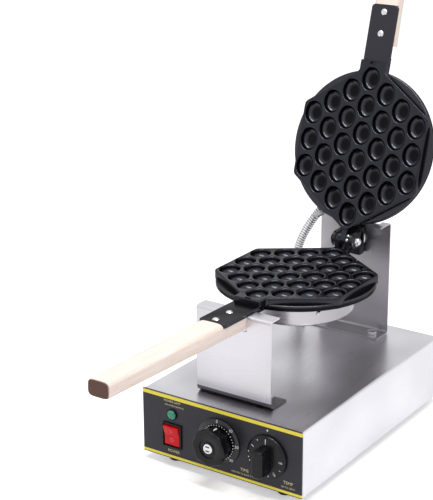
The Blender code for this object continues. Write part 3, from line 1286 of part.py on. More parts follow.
def make_heater(bench, name, face, mirror):
    """The ring heater behind the mould, its cover, and the fitting where the conduit leaves."""
    level = -RIM_BACK - SEAT_GAP - HEATER_TUBE_RADIUS
    angles = np.radians(np.linspace(HEATER_GAP_ANGLE / 2, 360 - HEATER_GAP_ANGLE / 2, HEATER_STEPS + 1) - 90)
    ring = [(HEATER_RADIUS * math.cos(a), HEATER_RADIUS * math.sin(a), level) for a in angles]
    tails = [(*point[:2], level - HEATER_TAIL) for point in (ring[0], ring[-1])]
    points = [tails[0], *ring, tails[1]]
    heater = curve_mesh(tube_curve(points, [HEATER_TUBE_RADIUS] * len(points), 1))
    bench.piece(f"{name}_heating_element", heater, "heater_sheath", face)

    top = -RIM_BACK - SEAT_GAP
    bottom = -COVER_BOTTOM
    edge = COVER_EDGE_RADIUS
    centre = (COVER_RADIUS - edge, bottom + edge)
    inside = arc(centre, edge - COVER_SHEET, -90, 0, EDGE_STEPS - 1)
    outside = arc(centre, edge, 0, -90, EDGE_STEPS - 1)
    cup = [
        (0, bottom + COVER_SHEET),
        *inside,
        (COVER_RADIUS - COVER_SHEET, top),
        (COVER_RADIUS, top),
        *outside,
        (0, bottom),
    ]
    cover = turned(bench, f"{name}_heater_cover", cup, "brushed_steel", face, steps=RIM_STEPS)
    for i, angle in enumerate(COVER_SCREW_ANGLES):
        place, turn = radial(mirrored(angle, mirror), COVER_SCREW_BELOW_RIM)
        shape = rod(COVER_SCREW_SHANK_RADIUS + HOLE_GAP, -LUG_THICKNESS / 2, CUT_OVERRUN, SCREW_STEPS)
        boolean(cover, bench.tool(f"{name}_cover_drill_{i}", shape, face, place, turn))
        make_screw(
            bench, f"{name}_cover_screw_{i + 1}", face, place, turn,
            COVER_SCREW_HEAD_RADIUS, COVER_SCREW_HEAD_HEIGHT, COVER_SCREW_SHANK_RADIUS, COVER_SCREW_LENGTH,
        )

    place, turn = radial(mirrored(FITTING_ANGLE, mirror), FITTING_BELOW_FACE - RIM_BACK)
    shape = rod(FITTING_STEM_RADIUS + HOLE_GAP, -FITTING_STEM_LENGTH, CUT_OVERRUN)
    boolean(cover, bench.tool(f"{name}_fitting_hole", shape, face, place, turn))
    profile = (
        (FITTING_COLLAR_RADIUS, SEAT_GAP + FITTING_LENGTH),
        (FITTING_COLLAR_RADIUS, SEAT_GAP + FITTING_NUT_LENGTH),
        (FITTING_RADIUS, SEAT_GAP + FITTING_NUT_LENGTH),
        (FITTING_RADIUS, SEAT_GAP),
        (FITTING_STEM_RADIUS, SEAT_GAP),
        (FITTING_STEM_RADIUS, -FITTING_STEM_LENGTH),
        (CONDUIT_BORE_RADIUS, -FITTING_STEM_LENGTH),
        (CONDUIT_BORE_RADIUS, SEAT_GAP + FITTING_LENGTH),
    )
    turned(bench, f"{name}_conduit_fitting", profile, "bright_zinc", face, place, turn, SMALL_STEPS)
    bpy.context.view_layer.update()
    outward = face.matrix_world.to_3x3() @ Vector((math.cos(turn[2]), math.sin(turn[2]), 0))
    exit_point = face.matrix_world @ Vector(place) + outward * (FITTING_LENGTH + 2 * SEAT_GAP)
    return exit_point, outward


def conduit_route(start, start_way, end, end_way):
    """Points a rib's half apart along a curve that leaves and arrives square to its fittings."""
    straight = 2 * CONDUIT_RADIUS
    curl = CONDUIT_CURL_SHARE * (end - start).length
    knots = [np.array(start), np.array(start + start_way * straight)]
    last = [np.array(end + end_way * straight), np.array(end)]
    handles = [knots[1], knots[1] + np.array(start_way) * curl, last[0] + np.array(end_way) * curl, last[0]]
    share = np.linspace(0, 1, ROUTE_SAMPLES)[:, None]
    bend = (
        (1 - share) ** 3 * handles[0]
        + 3 * (1 - share) ** 2 * share * handles[1]
        + 3 * (1 - share) * share**2 * handles[2]
        + share**3 * handles[3]
    )
    line = np.vstack([knots[0], bend, last[1]])
    length = np.concatenate([[0], np.cumsum(np.linalg.norm(np.diff(line, axis=0), axis=1))])
    ribs = round(length[-1] / CONDUIT_RIB_PITCH)
    places = np.linspace(0, length[-1], 2 * ribs + 1)
    return np.stack([np.interp(places, length, line[:, axis]) for axis in range(3)], axis=1)


def make_conduit(bench, name, frame, start, start_way, gland_place):
    """A ribbed metal hose from the cover's fitting to a gland on the base, and that gland."""
    place = (*gland_place, BASE_TOP)
    profile = (
        (GLAND_COLLAR_RADIUS, SEAT_GAP + GLAND_PROUD),
        (GLAND_COLLAR_RADIUS, SEAT_GAP + GLAND_NUT_LENGTH),
        (GLAND_RADIUS, SEAT_GAP + GLAND_NUT_LENGTH),
        (GLAND_RADIUS, SEAT_GAP),
        (GLAND_STEM_RADIUS, SEAT_GAP),
        (GLAND_STEM_RADIUS, -GLAND_STEM_LENGTH),
        (CONDUIT_BORE_RADIUS, -GLAND_STEM_LENGTH),
        (CONDUIT_BORE_RADIUS, SEAT_GAP + GLAND_PROUD),
    )
    turned(bench, f"{name}_conduit_gland", profile, "bright_zinc", frame, place, steps=SMALL_STEPS)
    end = Vector((*gland_place, BASE_TOP + GLAND_PROUD + 2 * SEAT_GAP))
    route = conduit_route(start, start_way, end, Vector((0, 0, 1)))
    radii = [CONDUIT_RADIUS * (1 if i % 2 else CONDUIT_VALLEY_SHARE) for i in range(len(route))]
    hose = bench.piece(f"{name}_conduit", curve_mesh(tube_curve(route, radii)), "bright_zinc", frame)
    before = route[0] - np.array(start_way) * CUT_OVERRUN
    beyond = route[-1] - np.array((0, 0, CUT_OVERRUN))
    core = [before, *route[BORE_KNOT_COUNT:-BORE_KNOT_COUNT:BORE_KNOT_COUNT], beyond]
    bore = curve_mesh(tube_curve(core, [CONDUIT_BORE_RADIUS] * len(core)))
    boolean(hose, bench.tool(f"{name}_conduit_bore", bore, frame))


def stand_over_origin(bench_frame, pieces):
    """Slides the bench so that the middle of the footprint lies on the world's origin."""
    bpy.context.view_layer.update()
    graph = bpy.context.evaluated_depsgraph_get()
    along = []
    for piece in pieces.objects:
        if piece.type == "MESH":
            shown = piece.evaluated_get(graph)
            along += [(shown.matrix_world @ vert.co).y for vert in shown.data.vertices]
    bench_frame.location.y = -(min(along) + max(along)) / 2


def main():
    clear_scene()
    bench = Bench()
    base = bench.frame("bench_frame")
    pan_pivot = bench.frame("pan_pivot", base, (0, PIN_Y, PIN_HEIGHT))
    opened = (math.radians(-OPEN_ANGLE), 0, 0)
    lid_pivot = bench.frame("lid_pivot", base, (0, PIN_Y, PIN_HEIGHT), opened)
    pan = bench.frame("pan_face", pan_pivot, (0, -PIN_BEHIND_CENTRE, -PIN_ABOVE_FACE))
    lid_place = (0, -PIN_BEHIND_CENTRE, FACE_GAP_CLOSED - PIN_ABOVE_FACE)
    lid = bench.frame("lid_face", lid_pivot, lid_place, (0, math.radians(180), 0))

    make_base(bench, base)
    make_panel(bench, base)
    make_lamp_and_rocker(bench, base)
    make_timer(bench, base)
    make_thermostat(bench, base)
    make_wiring(bench, base)
    make_brackets(bench, base)
    make_swivel(bench, base)

    outline = pan_ear_outline()
    pan_starts = (-PAN_EAR_START - PAN_EAR_WIDTH, PAN_EAR_START)
    pan_ears = [(start, PAN_EAR_WIDTH, outline) for start in pan_starts]
    lid_ears = [(-LID_KNUCKLE_WIDTH / 2, LID_KNUCKLE_WIDTH, lid_knuckle_outline())]
    halves = (
        ("lower", pan, False, pan_ears, PIN_ABOVE_FACE, PAN_GLAND_PLACE),
        ("upper", lid, True, lid_ears, FACE_GAP_CLOSED - PIN_ABOVE_FACE, LID_GLAND_PLACE),
    )
    for name, face, mirror, ears, pin_level, gland_place in halves:
        arm = make_mould(bench, name, face, mirror, ears, pin_level)
        make_grip(bench, name, arm)
        start, way = make_heater(bench, name, face, mirror)
        make_conduit(bench, name, base, start, way, gland_place)
    stand_over_origin(base, bench.pieces)


main()
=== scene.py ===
"""Bubble waffle maker: castings, sheet metal, wood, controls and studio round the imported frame.

Sizes are millimetres times MM, and mm() turns a table of them. The bench frame starts on the table
under the middle of the front panel: X right, Y back, Z up. Each casting is worked out in the frame
of its own cooking face: X across, Y towards the hinge, Z out of the face.
"""

import math

import bmesh
import bpy
import numpy as np
from bpy.props import FloatProperty, FloatVectorProperty, IntProperty, PointerProperty
from mathutils import Matrix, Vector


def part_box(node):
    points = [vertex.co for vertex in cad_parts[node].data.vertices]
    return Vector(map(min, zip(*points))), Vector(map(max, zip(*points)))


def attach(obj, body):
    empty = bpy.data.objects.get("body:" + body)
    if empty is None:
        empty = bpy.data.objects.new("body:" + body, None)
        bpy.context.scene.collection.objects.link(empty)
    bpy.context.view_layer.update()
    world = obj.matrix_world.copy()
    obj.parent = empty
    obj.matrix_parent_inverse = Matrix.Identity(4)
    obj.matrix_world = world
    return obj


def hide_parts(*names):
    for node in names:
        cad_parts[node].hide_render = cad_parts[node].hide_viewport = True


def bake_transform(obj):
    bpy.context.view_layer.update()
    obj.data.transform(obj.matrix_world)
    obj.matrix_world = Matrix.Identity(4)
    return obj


bl_info = {
    "name": "Bubble Waffle Maker",
    "version": (1, 0, 0),
    "blender": (4, 5, 0),
    "location": "3D View > Sidebar > Waffle Maker",
    "description": "Dresses a hinged bubble waffle iron on its steel base, and lights it",
    "category": "Object",
}

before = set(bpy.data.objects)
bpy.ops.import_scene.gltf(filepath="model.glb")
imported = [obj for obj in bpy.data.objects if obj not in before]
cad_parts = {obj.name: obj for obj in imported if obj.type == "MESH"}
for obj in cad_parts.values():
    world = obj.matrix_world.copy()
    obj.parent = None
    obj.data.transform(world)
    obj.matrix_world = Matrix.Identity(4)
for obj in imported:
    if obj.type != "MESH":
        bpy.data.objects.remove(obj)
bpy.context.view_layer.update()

MM = 0.001


def mm(*sizes):
    """Sizes in millimetres, or rows of them, as an array in metres."""
    return np.array(sizes, float) * MM


TINY = 0.002 * MM  # keeps two rings of points apart; nearer ones than a quarter of it become one
SEAT = 0.3 * MM  # between a head, nut or hose and what it meets
INK = 0.06 * MM  # how far a printed dot stands proud

# Places that the frame gives
BENCH_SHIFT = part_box("control_panel")[0][1]

# Base and panel, in the bench frame
BASE_DEPTH = 335 * MM
BASE_TOP = 91.5 * MM
BOLT_SEAT = BASE_TOP + 2.1 * MM
FOOT_ACROSS, FOOT_INSET = mm(76.5, 20.5)
CONTROL_HEIGHT = 51 * MM
LAMP_PLACE = mm(-67.5, 67.5)
ROCKER_PLACE = mm(-67.5, 40.5)
ROCKER_TILT = 8
TIMER_PLACE = (-1 * MM, CONTROL_HEIGHT)
THERMOSTAT_PLACE = (65 * MM, CONTROL_HEIGHT)
INDEX_PLACE = mm(64.5, 82.6)
MAINS_PLACE = mm(70, 34)
GLAND_PLACES = {"lower": mm(-66, 280), "upper": mm(-84, 300)}

# Hinge and faces
PIN_Y = 281.6 * MM
PIN_HEIGHT = 216.65 * MM
PIN_BEHIND_CENTRE = 117.8 * MM
PIN_ABOVE_FACE = 7.45 * MM
FACE_GAP = 0.6 * MM
OPEN_ANGLE = 107.5
ARM_RISE = 1.06
NECK_REACH = 115.6 * MM
STEP_REACH = 108.6 * MM
ARM_STEP = 5.9 * MM
RIM_RADIUS = 97 * MM
RIM_BACK = 14.2 * MM
COVER_RADIUS = 71 * MM
COVER_SCREW_ANGLES = (-36.5, 83.5, 203.5)
COVER_SCREW_LEVEL = -27.2 * MM
FITTING_ANGLE = 122.5
FITTING_LEVEL = -31 * MM
COVER_FITTING = (13.6, 5, 6.6, 9.3, 5, 5)  # millimetres, as conduit_fitting lists them
BASE_GLAND = (17, 6, 7.5, 11.3, 6, 8)
HOSE_BORE = 4 * MM
SHAFT_LEVEL = -3 * MM
EAR_OUTSIDE = 15 * MM
EAR_RADIUS = 9 * MM

QUARTER = 90
HALF_TURN = 180


def turn(axis, degrees):
    """A rotation about one axis, as a 4 by 4 array."""
    return np.array(Matrix.Rotation(math.radians(degrees), 4, axis))


def move(x, y, z):
    made = np.eye(4)
    made[:3, 3] = (x, y, z)
    return made


BENCH = move(0, BENCH_SHIFT, 0)
PIN = BENCH @ move(0, PIN_Y, PIN_HEIGHT)
LOWER_FACE = PIN @ move(0, -PIN_BEHIND_CENTRE, -PIN_ABOVE_FACE)
UPPER_FACE = (
    PIN
    @ turn("X", -OPEN_ANGLE)
    @ move(0, -PIN_BEHIND_CENTRE, FACE_GAP - PIN_ABOVE_FACE)
    @ turn("Y", HALF_TURN)
)
ARM_IN_FACE = move(0, -NECK_REACH, -ARM_STEP) @ turn("X", -ARM_RISE)
TO_FRONT = turn("X", QUARTER)
TO_BACK = turn("X", -QUARTER)
TO_RIGHT = turn("Y", QUARTER)


def on_panel(place):
    """The frame of a control: its origin on the panel's front, Z out towards the user."""
    return BENCH @ move(place[0], 0, place[1]) @ TO_FRONT


# Shapes. Each returns (points, faces), with the faces as lists of point numbers.


def grid(points, wrap_across=False, wrap_along=False):
    """Four-sided faces over a grid of points whose shape is (across, along, 3)."""
    across, along = points.shape[:2]
    i = np.arange(across if wrap_across else across - 1)[:, None]
    j = np.arange(along if wrap_along else along - 1)[None, :]
    after_i, after_j = (i + 1) % across, (j + 1) % along
    faces = np.stack(
        [i * along + j, after_i * along + j, after_i * along + after_j, i * along + after_j], axis=-1
    )
    return points.reshape(-1, 3), faces.reshape(-1, 4).tolist()


def joined(*shapes):
    """Several shapes as one, the point numbers of each moved on by those before it."""
    points, faces, count = [], [], 0
    for some_points, some_faces in shapes:
        points.append(some_points)
        faces += [[number + count for number in face] for face in some_faces]
        count += len(some_points)
    return np.vstack(points), faces


def placed(shape, place):
    points, faces = shape
    return points @ place[:3, :3].T + place[:3, 3], faces


def repeated(shape, spots):
    """A shape of four-sided faces at every one of the spots."""
    points, faces = shape
    everything = (points[None] + spots[:, None]).reshape(-1, 3)
    numbers = np.array(faces)[None] + (np.arange(len(spots)) * len(points))[:, None, None]
    return everything, numbers.reshape(-1, 4).tolist()


def raised(outline, height):
    return np.column_stack([outline, np.full(len(outline), height)])


def polar(radius, angles, height):
    """Points from their distance to Z, their angle about it and their height."""
    return np.stack(
        np.broadcast_arrays(radius * np.cos(angles), radius * np.sin(angles), height), axis=-1
    )


def arc(radius, start, end, steps, centre=(0, 0)):
    """Points at a radius round a centre in a plane, angles in degrees."""
    angles = np.radians(np.linspace(start, end, steps + 1))
    return np.asarray(centre) + radius * np.stack([np.cos(angles), np.sin(angles)], axis=1)


def turned(profile, steps=64):
    """A profile of (radius, height) carried round Z: x = radius cos a, y = radius sin a."""
    radius, height = np.asarray(profile, float).T
    angles = np.linspace(0, math.tau, steps, endpoint=False)[:, None]
    return grid(polar(radius, angles, height), wrap_across=True)


def softened(corners, radii, steps=5):
    """A closed outline whose corners are arcs of the given radii, each tangent to both sides."""
    corners = np.asarray(corners, float)
    radii = np.broadcast_to(radii, len(corners))
    befores, afters = np.roll(corners, 1, 0), np.roll(corners, -1, 0)
    points = []
    for here, before, after, radius in zip(corners, befores, afters, radii):
        if radius == 0:
            points.append(here[None])
            continue
        back = (before - here) / np.linalg.norm(before - here)
        on = (after - here) / np.linalg.norm(after - here)
        half = math.acos(np.clip(back @ on, -1, 1)) / 2
        centre = here + (back + on) / np.linalg.norm(back + on) * radius / math.sin(half)
        first = here + back * radius / math.tan(half) - centre
        last = here + on * radius / math.tan(half) - centre
        sweep = math.atan2(first[0] * last[1] - first[1] * last[0], first @ last)
        angles = np.linspace(0, sweep, steps + 1)
        turning = np.stack([np.cos(angles), np.sin(angles)], axis=1)
        points.append(
            centre + turning[:, :1] * first + turning[:, 1:] * np.array([-first[1], first[0]])
        )
    return np.vstack(points)


def inset(outline, distance):
    """A closed outline moved inwards by the distance, along the middle of each corner."""
    ahead = np.roll(outline, -1, 0) - outline
    ahead /= np.linalg.norm(ahead, axis=1)[:, None]
    normal = np.stack([-ahead[:, 1], ahead[:, 0]], axis=1)
    middle = normal + np.roll(normal, 1, 0)
    middle /= np.linalg.norm(middle, axis=1)[:, None]
    stretch = np.maximum((middle * normal).sum(1), 0.4)[:, None]
    return outline + middle / stretch * distance


def stacked(rings, caps=True):
    """Closed rings of as many points each, joined one after another, the two ends filled flat."""
    points, faces = grid(np.stack(rings), wrap_along=True)
    if caps:
        count = len(rings[0])
        last = (len(rings) - 1) * count
        faces += [list(range(count))[::-1], list(range(last, last + count))]
    return points, faces


def slab(outline, levels, caps=True):
    """An outline carried through levels of (inset, height)."""
    return stacked([raised(inset(outline, inwards), height) for inwards, height in levels], caps)


def bar(levels, steps=5):
    """A round-cornered rectangle through levels of (half width, half length, corner, height)."""
    rings = []
    for half_width, half_length, corner, height in levels:
        corners = rectangle((-half_width, -half_length), (half_width, half_length))
        rings.append(raised(softened(corners, corner, steps), height))
    return stacked(rings)


def rounded_levels(bottom, top, edge, steps=3):
    """The (inset, height) levels of a plate whose two edges are quarter rounds."""
    angles = np.radians(np.linspace(0, QUARTER, steps + 1))
    low = [(edge * (1 - math.sin(a)), bottom + edge * (1 - math.cos(a))) for a in angles]
    high = [(edge * (1 - math.cos(a)), top - edge * (1 - math.sin(a))) for a in angles]
    return low + high


def rectangle(low, high):
    return [(low[0], low[1]), (high[0], low[1]), (high[0], high[1]), (low[0], high[1])]


def rounded_box(low, high, corner, edge):
    """A box with its upright corners rounded in plan and its other edges rounded in section."""
    outline = softened(rectangle(low, high), corner, 4)
    return slab(outline, rounded_levels(low[2], high[2], edge))


def side_plate(outline, low, high, edge=0.6 * MM):
    """A plate whose outline lies in YZ, its thickness along X."""
    points, faces = slab(np.asarray(outline, float), rounded_levels(low, high, edge, 2))
    return points[:, [2, 0, 1]], faces


def hexagon_head(across_flats, height, steps=12):
    """A hexagon bar whose top is cut by a cone, so that its flats end in arcs.

    The distance to a flat is half / cos(a), a measured from the flat's middle; the side ends
    where that distance meets the cone of 30 degrees that starts just inside the flats.
    """
    angles = np.linspace(0, math.tau, 6 * steps, endpoint=False)
    half = across_flats / 2
    cut = half * 0.97
    reach = half / np.cos((angles + math.pi / 6) % (math.pi / 3) - math.pi / 6)
    fall = np.maximum(reach - cut, 0) * math.tan(math.radians(30))
    none = np.zeros_like(reach)
    radius = np.stack([none, none + cut, reach, reach, none], axis=1)
    level = np.stack([none + height, none + height, height - fall, none, none], axis=1)
    return grid(polar(radius, angles[:, None], level), wrap_across=True)


def slotted_head(radius, height, slot_width, slot_depth, lines=17):
    """A domed screw head on a grid of lines along its slot.

    x runs across the slot with two lines at each of its sides; y = v sqrt(radius^2 - x^2), v
    from -1 to 1 along the slot; the dome is height (1 - (r / radius)^2.4), cut down in the slot.
    """
    half = slot_width / 2
    outer = np.linspace(-radius, -half, 7)
    across = np.concatenate([outer, [-half + TINY, half - TINY], -outer[::-1]])
    share = np.sin(np.radians(np.linspace(-QUARTER, QUARTER, lines)))
    x = np.broadcast_to(across[:, None], (len(across), lines))
    y = share[None, :] * np.sqrt(np.maximum(radius**2 - x**2, 0))
    dome = height * (1 - (np.hypot(x, y) / radius) ** 2.4)
    in_slot = np.abs(x) < half - TINY / 2
    top = np.where(in_slot, np.minimum(dome, height - slot_depth), dome)
    upper = np.stack([x, y, top], axis=-1)
    lower = np.stack([x, y, x * 0], axis=-1)
    return joined(grid(upper), grid(lower[:, ::-1]))


def tube(path, radii, bore, steps):
    """A ring section carried along a path, in a frame that turns no more than the path does.

    It runs out along the tube's outside and returns along the bore, so the tube is closed.
    """
    ahead = np.gradient(path, axis=0)
    ahead /= np.linalg.norm(ahead, axis=1)[:, None]
    side = np.empty_like(path)
    side[0] = np.cross(ahead[0], (1, 0, 0) if abs(ahead[0][0]) < 0.7 else (0, 1, 0))
    for i in range(1, len(path)):
        side[i] = side[i - 1] - ahead[i] * (side[i - 1] @ ahead[i])
        side[i] /= np.linalg.norm(side[i])
    side[0] /= np.linalg.norm(side[0])
    up = np.cross(ahead, side)
    angles = np.linspace(0, math.tau, steps, endpoint=False)[None, :, None]
    spoke = side[:, None] * np.cos(angles) + up[:, None] * np.sin(angles)
    outer = path[:, None] + spoke * np.asarray(radii)[:, None, None]
    inner = (path[:, None] + spoke * bore)[::-1]
    return grid(np.concatenate([outer, inner]), wrap_across=True, wrap_along=True)


# Finishes


def linear(colour):
    """An sRGB hex colour as linear red, green, blue and alpha."""
    parts = [int(colour[i : i + 2], 16) / 255 for i in (1, 3, 5)]
    return (*[p / 12.92 if p <= 0.04045 else ((p + 0.055) / 1.055) ** 2.4 for p in parts], 1)


def node(tree, kind, inputs=(), output=0, **settings):
    """Adds a node with its settings, and gives one of its outputs.

    Its inputs come by name or in their order, each a value or another node's output. Those of a
    MapRange are a value, the range that it comes from and the range that it goes to.
    """
    made = tree.nodes.new("ShaderNode" + kind)
    for name, value in settings.items():
        setattr(made, name, value)
    for name, value in inputs.items() if isinstance(inputs, dict) else enumerate(inputs):
        if isinstance(value, bpy.types.NodeSocket):
            tree.links.new(value, made.inputs[name])
        else:
            made.inputs[name].default_value = value
    return made.outputs[output]


def feed(tree, target, **sources):
    """Links outputs into the inputs of a shader or an output node."""
    for name, source in sources.items():
        tree.links.new(source, target.inputs[name.replace("_", " ")])


def finish(name, colour, roughness, metallic=0, **sockets):
    """A new material: its name, its tree and its shader, with constants on the shader's sockets."""
    made = bpy.data.materials.new(name)
    made.use_nodes = True
    tree = made.node_tree
    shader = tree.nodes["Principled BSDF"]
    shader.inputs["Base Color"].default_value = linear(colour)
    shader.inputs["Roughness"].default_value = roughness
    shader.inputs["Metallic"].default_value = metallic
    for socket, value in sockets.items():
        shader.inputs[socket.replace("_", " ")].default_value = value
    made.diffuse_color = linear(colour)
    return made, tree, shader


def own_place(tree):
    """The place of a point in its piece's own frame, which the piece carries as an attribute."""
    return node(tree, "Attribute", output="Vector", attribute_name="own_place")


def bench_place(tree):
    return node(tree, "TexCoord", output="Object")


def spun_place(tree):
    """Radius and height about a piece's own axis: marks made while it turned run round it."""
    x, y, z = (node(tree, "SeparateXYZ", [own_place(tree)], axis) for axis in "XYZ")
    flat = node(tree, "CombineXYZ", (x, y))
    radius = node(tree, "VectorMath", [flat], "Value", operation="LENGTH")
    return node(tree, "CombineXYZ", {"X": radius, "Z": z})


def streaks(tree, place, lengths, seed=0.0, detail=3.0):
    """Noise whose grains have one length in millimetres, or one each along X, Y and Z."""
    scale = (1 / np.broadcast_to(np.array(lengths, float) * MM, 3)).tolist()
    shift = (seed, seed * 2, seed * 3)
    scaled = node(tree, "Mapping", {"Vector": place, "Scale": scale, "Location": shift})
    look = {"Vector": scaled, "Scale": 1.0, "Detail": detail, "Roughness": 0.6}
    return node(tree, "TexNoise", look, "Fac")


def tinted(tree, source, low, high, start=0.3, end=0.7):
    """The low colour where the source is under start, the high one over end, a blend between.

    Each is a hex colour or another node's output.
    """
    share = node(tree, "MapRange", (source, start, end, 0, 1))
    low, high = (linear(colour) if isinstance(colour, str) else colour for colour in (low, high))
    return node(tree, "Mix", {0: share, 6: low, 7: high}, 2, data_type="RGBA")


def vary(tree, shader, noise, gloss=None, tint=None, bump=None):
    """Lets a noise vary a shader.

    The roughness goes over the pair in gloss and the colour over the pair in tint; the relief
    has the depth in millimetres and the strength in bump.
    """
    if gloss:
        feed(tree, shader, Roughness=node(tree, "MapRange", (noise, 0.3, 0.7, *gloss)))
    if tint:
        feed(tree, shader, Base_Color=tinted(tree, noise, *tint))
    if bump:
        relief = {"Height": noise, "Distance": bump[0] * MM, "Strength": bump[1]}
        feed(tree, shader, Normal=node(tree, "Bump", relief))


def brushed_stainless(
    name, lengths, low, high, roughness=(0.26, 0.38), above=None, painted_bend_shade=None, place=bench_place
):
    """Stainless sheet, brushed one way: fine streaks in gloss and relief.

    Real ones are about 0.1 mm wide, too fine to show, so they are drawn 0.35 or 0.5 mm wide.
    Where a pair of colours is given for the faces that look up, they take its darker colours,
    varied by the haze: painted shade, a darker reflection on the top. Below a given height the
    sheet, pressed round in its bend, is painted dark as the bend's shade and dark reflection.
    """
    made, tree, shader = finish(name, high, roughness[0], metallic=1)
    grain = streaks(tree, place(tree), lengths)
    haze = streaks(tree, bench_place(tree), (90, 120, 90), 3.0, 1.0)
    colour = tinted(tree, haze, low, high)
    # Painted shade: faces that look up blend to the darker pair, a darker reflection on the top.
    if above:
        facing = node(tree, "NewGeometry", output="Normal")
        upward = node(tree, "SeparateXYZ", [facing], "Z")
        colour = tinted(tree, upward, colour, tinted(tree, haze, *above), 0.5, 0.9)
    # Painted shade: below the height the sheet is tinted dark grey, as shade and dark reflection in its bend.
    if painted_bend_shade:
        height = node(tree, "SeparateXYZ", [bench_place(tree)], "Z")
        colour = tinted(tree, height, "#6a686e", colour, painted_bend_shade - 0.4 * MM, painted_bend_shade)
    feed(tree, shader, Base_Color=colour)
    vary(tree, shader, grain, roughness, bump=(0.02, 0.35))
    return made


def even_finish(
    name, colour, roughness, grain, metallic=0, gloss=None, tint=None, bump=None, place=own_place, **sockets
):
    """A finish that one noise varies, its grains of one size in millimetres."""
    made, tree, shader = finish(name, colour, roughness, metallic, **sockets)
    vary(tree, shader, streaks(tree, place(tree), grain), gloss, tint, bump)
    return made


def casting_coat():
    """Cast aluminium under a sprayed black non-stick coat.

    It has a fine grit, drawn coarser than it is so that it shows, and bright spots where it
    faces the light. It has less gloss seen along the face, where its pits shade one another,
    but more again on the land around the cells. The cells are painted near black below the
    land, as shade in their hollows; their gloss is raised on the walls and lowered at the bottom.
    """
    made, tree, shader = finish(
        "nonstick_coated_casting", "#0d0d14", 0.28, Specular_IOR_Level=0.3, Specular_Tint=(0.84, 0.84, 1, 1)
    )
    grit = streaks(tree, own_place(tree), 1.1, detail=4.0)
    cloud = streaks(tree, own_place(tree), 22, 5.0, 2.0)
    slant = node(tree, "LayerWeight", {"Blend": 0.5}, "Facing")
    height = node(tree, "SeparateXYZ", [own_place(tree)], "Z")
    bare = tinted(tree, cloud, "#0b0b12", "#12121a")
    # Painted shade: the cells more than 1 to 3 mm below the land are tinted near black.
    painted_cell_shade = tinted(tree, height, "#050508", bare, *mm(-3, -1))
    facing = node(tree, "MapRange", (slant, 0.35, 0.62, 0.44, 0.03))
    land = node(tree, "MapRange", (height, *mm(-1, -0.4), 0, 0.13))
    bottom = node(tree, "MapRange", (height, *mm(-10, -9), 0.2, 1))
    wall = node(tree, "MapRange", (height, *mm(-5, -2), 1.5, 1))
    sheen = node(tree, "Math", (facing, land), operation="MAXIMUM")
    cell = node(tree, "Math", (bottom, wall), operation="MULTIPLY")
    gloss = node(tree, "Math", (sheen, cell), operation="MULTIPLY")
    feed(tree, shader, Base_Color=painted_cell_shade, Specular_IOR_Level=gloss)
    vary(tree, shader, grit, (0.2, 0.3), bump=(0.05, 0.35))
    return made


def sanded_beech():
    """Sanded beech without lacquer.

    It is pale pink-tan with short brown flecks along the grain, matt, and darker on its sawn
    end: partly the end grain's own colour, where the pores show, partly painted shade.
    """
    made, tree, shader = finish("sanded_beech", "#f3e0d2", 0.62, Specular_IOR_Level=0.3)
    grain = streaks(tree, own_place(tree), (3.2, 70, 3.2), detail=4.0)
    fleck = streaks(tree, own_place(tree), (0.7, 6, 0.7), 2.0)
    wood = tinted(tree, grain, "#f6ebe4", "#ecd7ca")
    flecked = tinted(tree, node(tree, "MapRange", (fleck, 0.6, 0.72, 0, 0.5)), wood, "#c99f84", 0, 1)
    along = node(tree, "SeparateXYZ", [own_place(tree)], "Y")
    # The sawn end is tinted dark brown: partly the end grain's colour, partly painted shade.
    feed(tree, shader, Base_Color=tinted(tree, along, "#64483f", flecked, *mm(-263.7, -262)))
    vary(tree, shader, grain, (0.55, 0.7))
    vary(tree, shader, fleck, bump=(0.05, 0.5))
    return made


def galvanised_hose():
    """Galvanised interlocked hose: greyer zinc, with painted shade in the valleys between its ribs."""
    made, tree, shader = finish("galvanised_hose", "#cfcfd3", 0.28, metallic=1)
    rib = node(tree, "Attribute", output="Fac", attribute_name="rib")
    roughness = node(tree, "MapRange", (rib, 0, 1, 0.5, 0.2))
    # Painted shade: the valleys between the ribs are tinted dark grey, the rib tops light.
    feed(tree, shader, Base_Color=tinted(tree, rib, "#48484c", "#e2e2e4", 0, 0.7), Roughness=roughness)
    return made


def printed_panel():
    """Black film over steel, with a yellow line printed along its top and its bottom edge."""
    made, tree, shader = finish("screen_printed_panel_film", "#25252d", 0.36, Specular_IOR_Level=0.35)
    place = bench_place(tree)
    height = node(tree, "SeparateXYZ", [place], "Z")
    printed = tinted(tree, streaks(tree, place, 30), "#22222a", "#292932")
    for low, high in mm((11, 14.2), (86.4, 90.9)):
        above = node(tree, "Math", (height, low), operation="GREATER_THAN")
        below = node(tree, "Math", (height, high), operation="LESS_THAN")
        line = node(tree, "Math", (above, below), operation="MULTIPLY")
        printed = tinted(tree, line, printed, "#f2e04a", 0, 1)
    feed(tree, shader, Base_Color=printed)
    vary(tree, shader, streaks(tree, place, 0.5), (0.3, 0.42), bump=(0.01, 0.4))
    return made


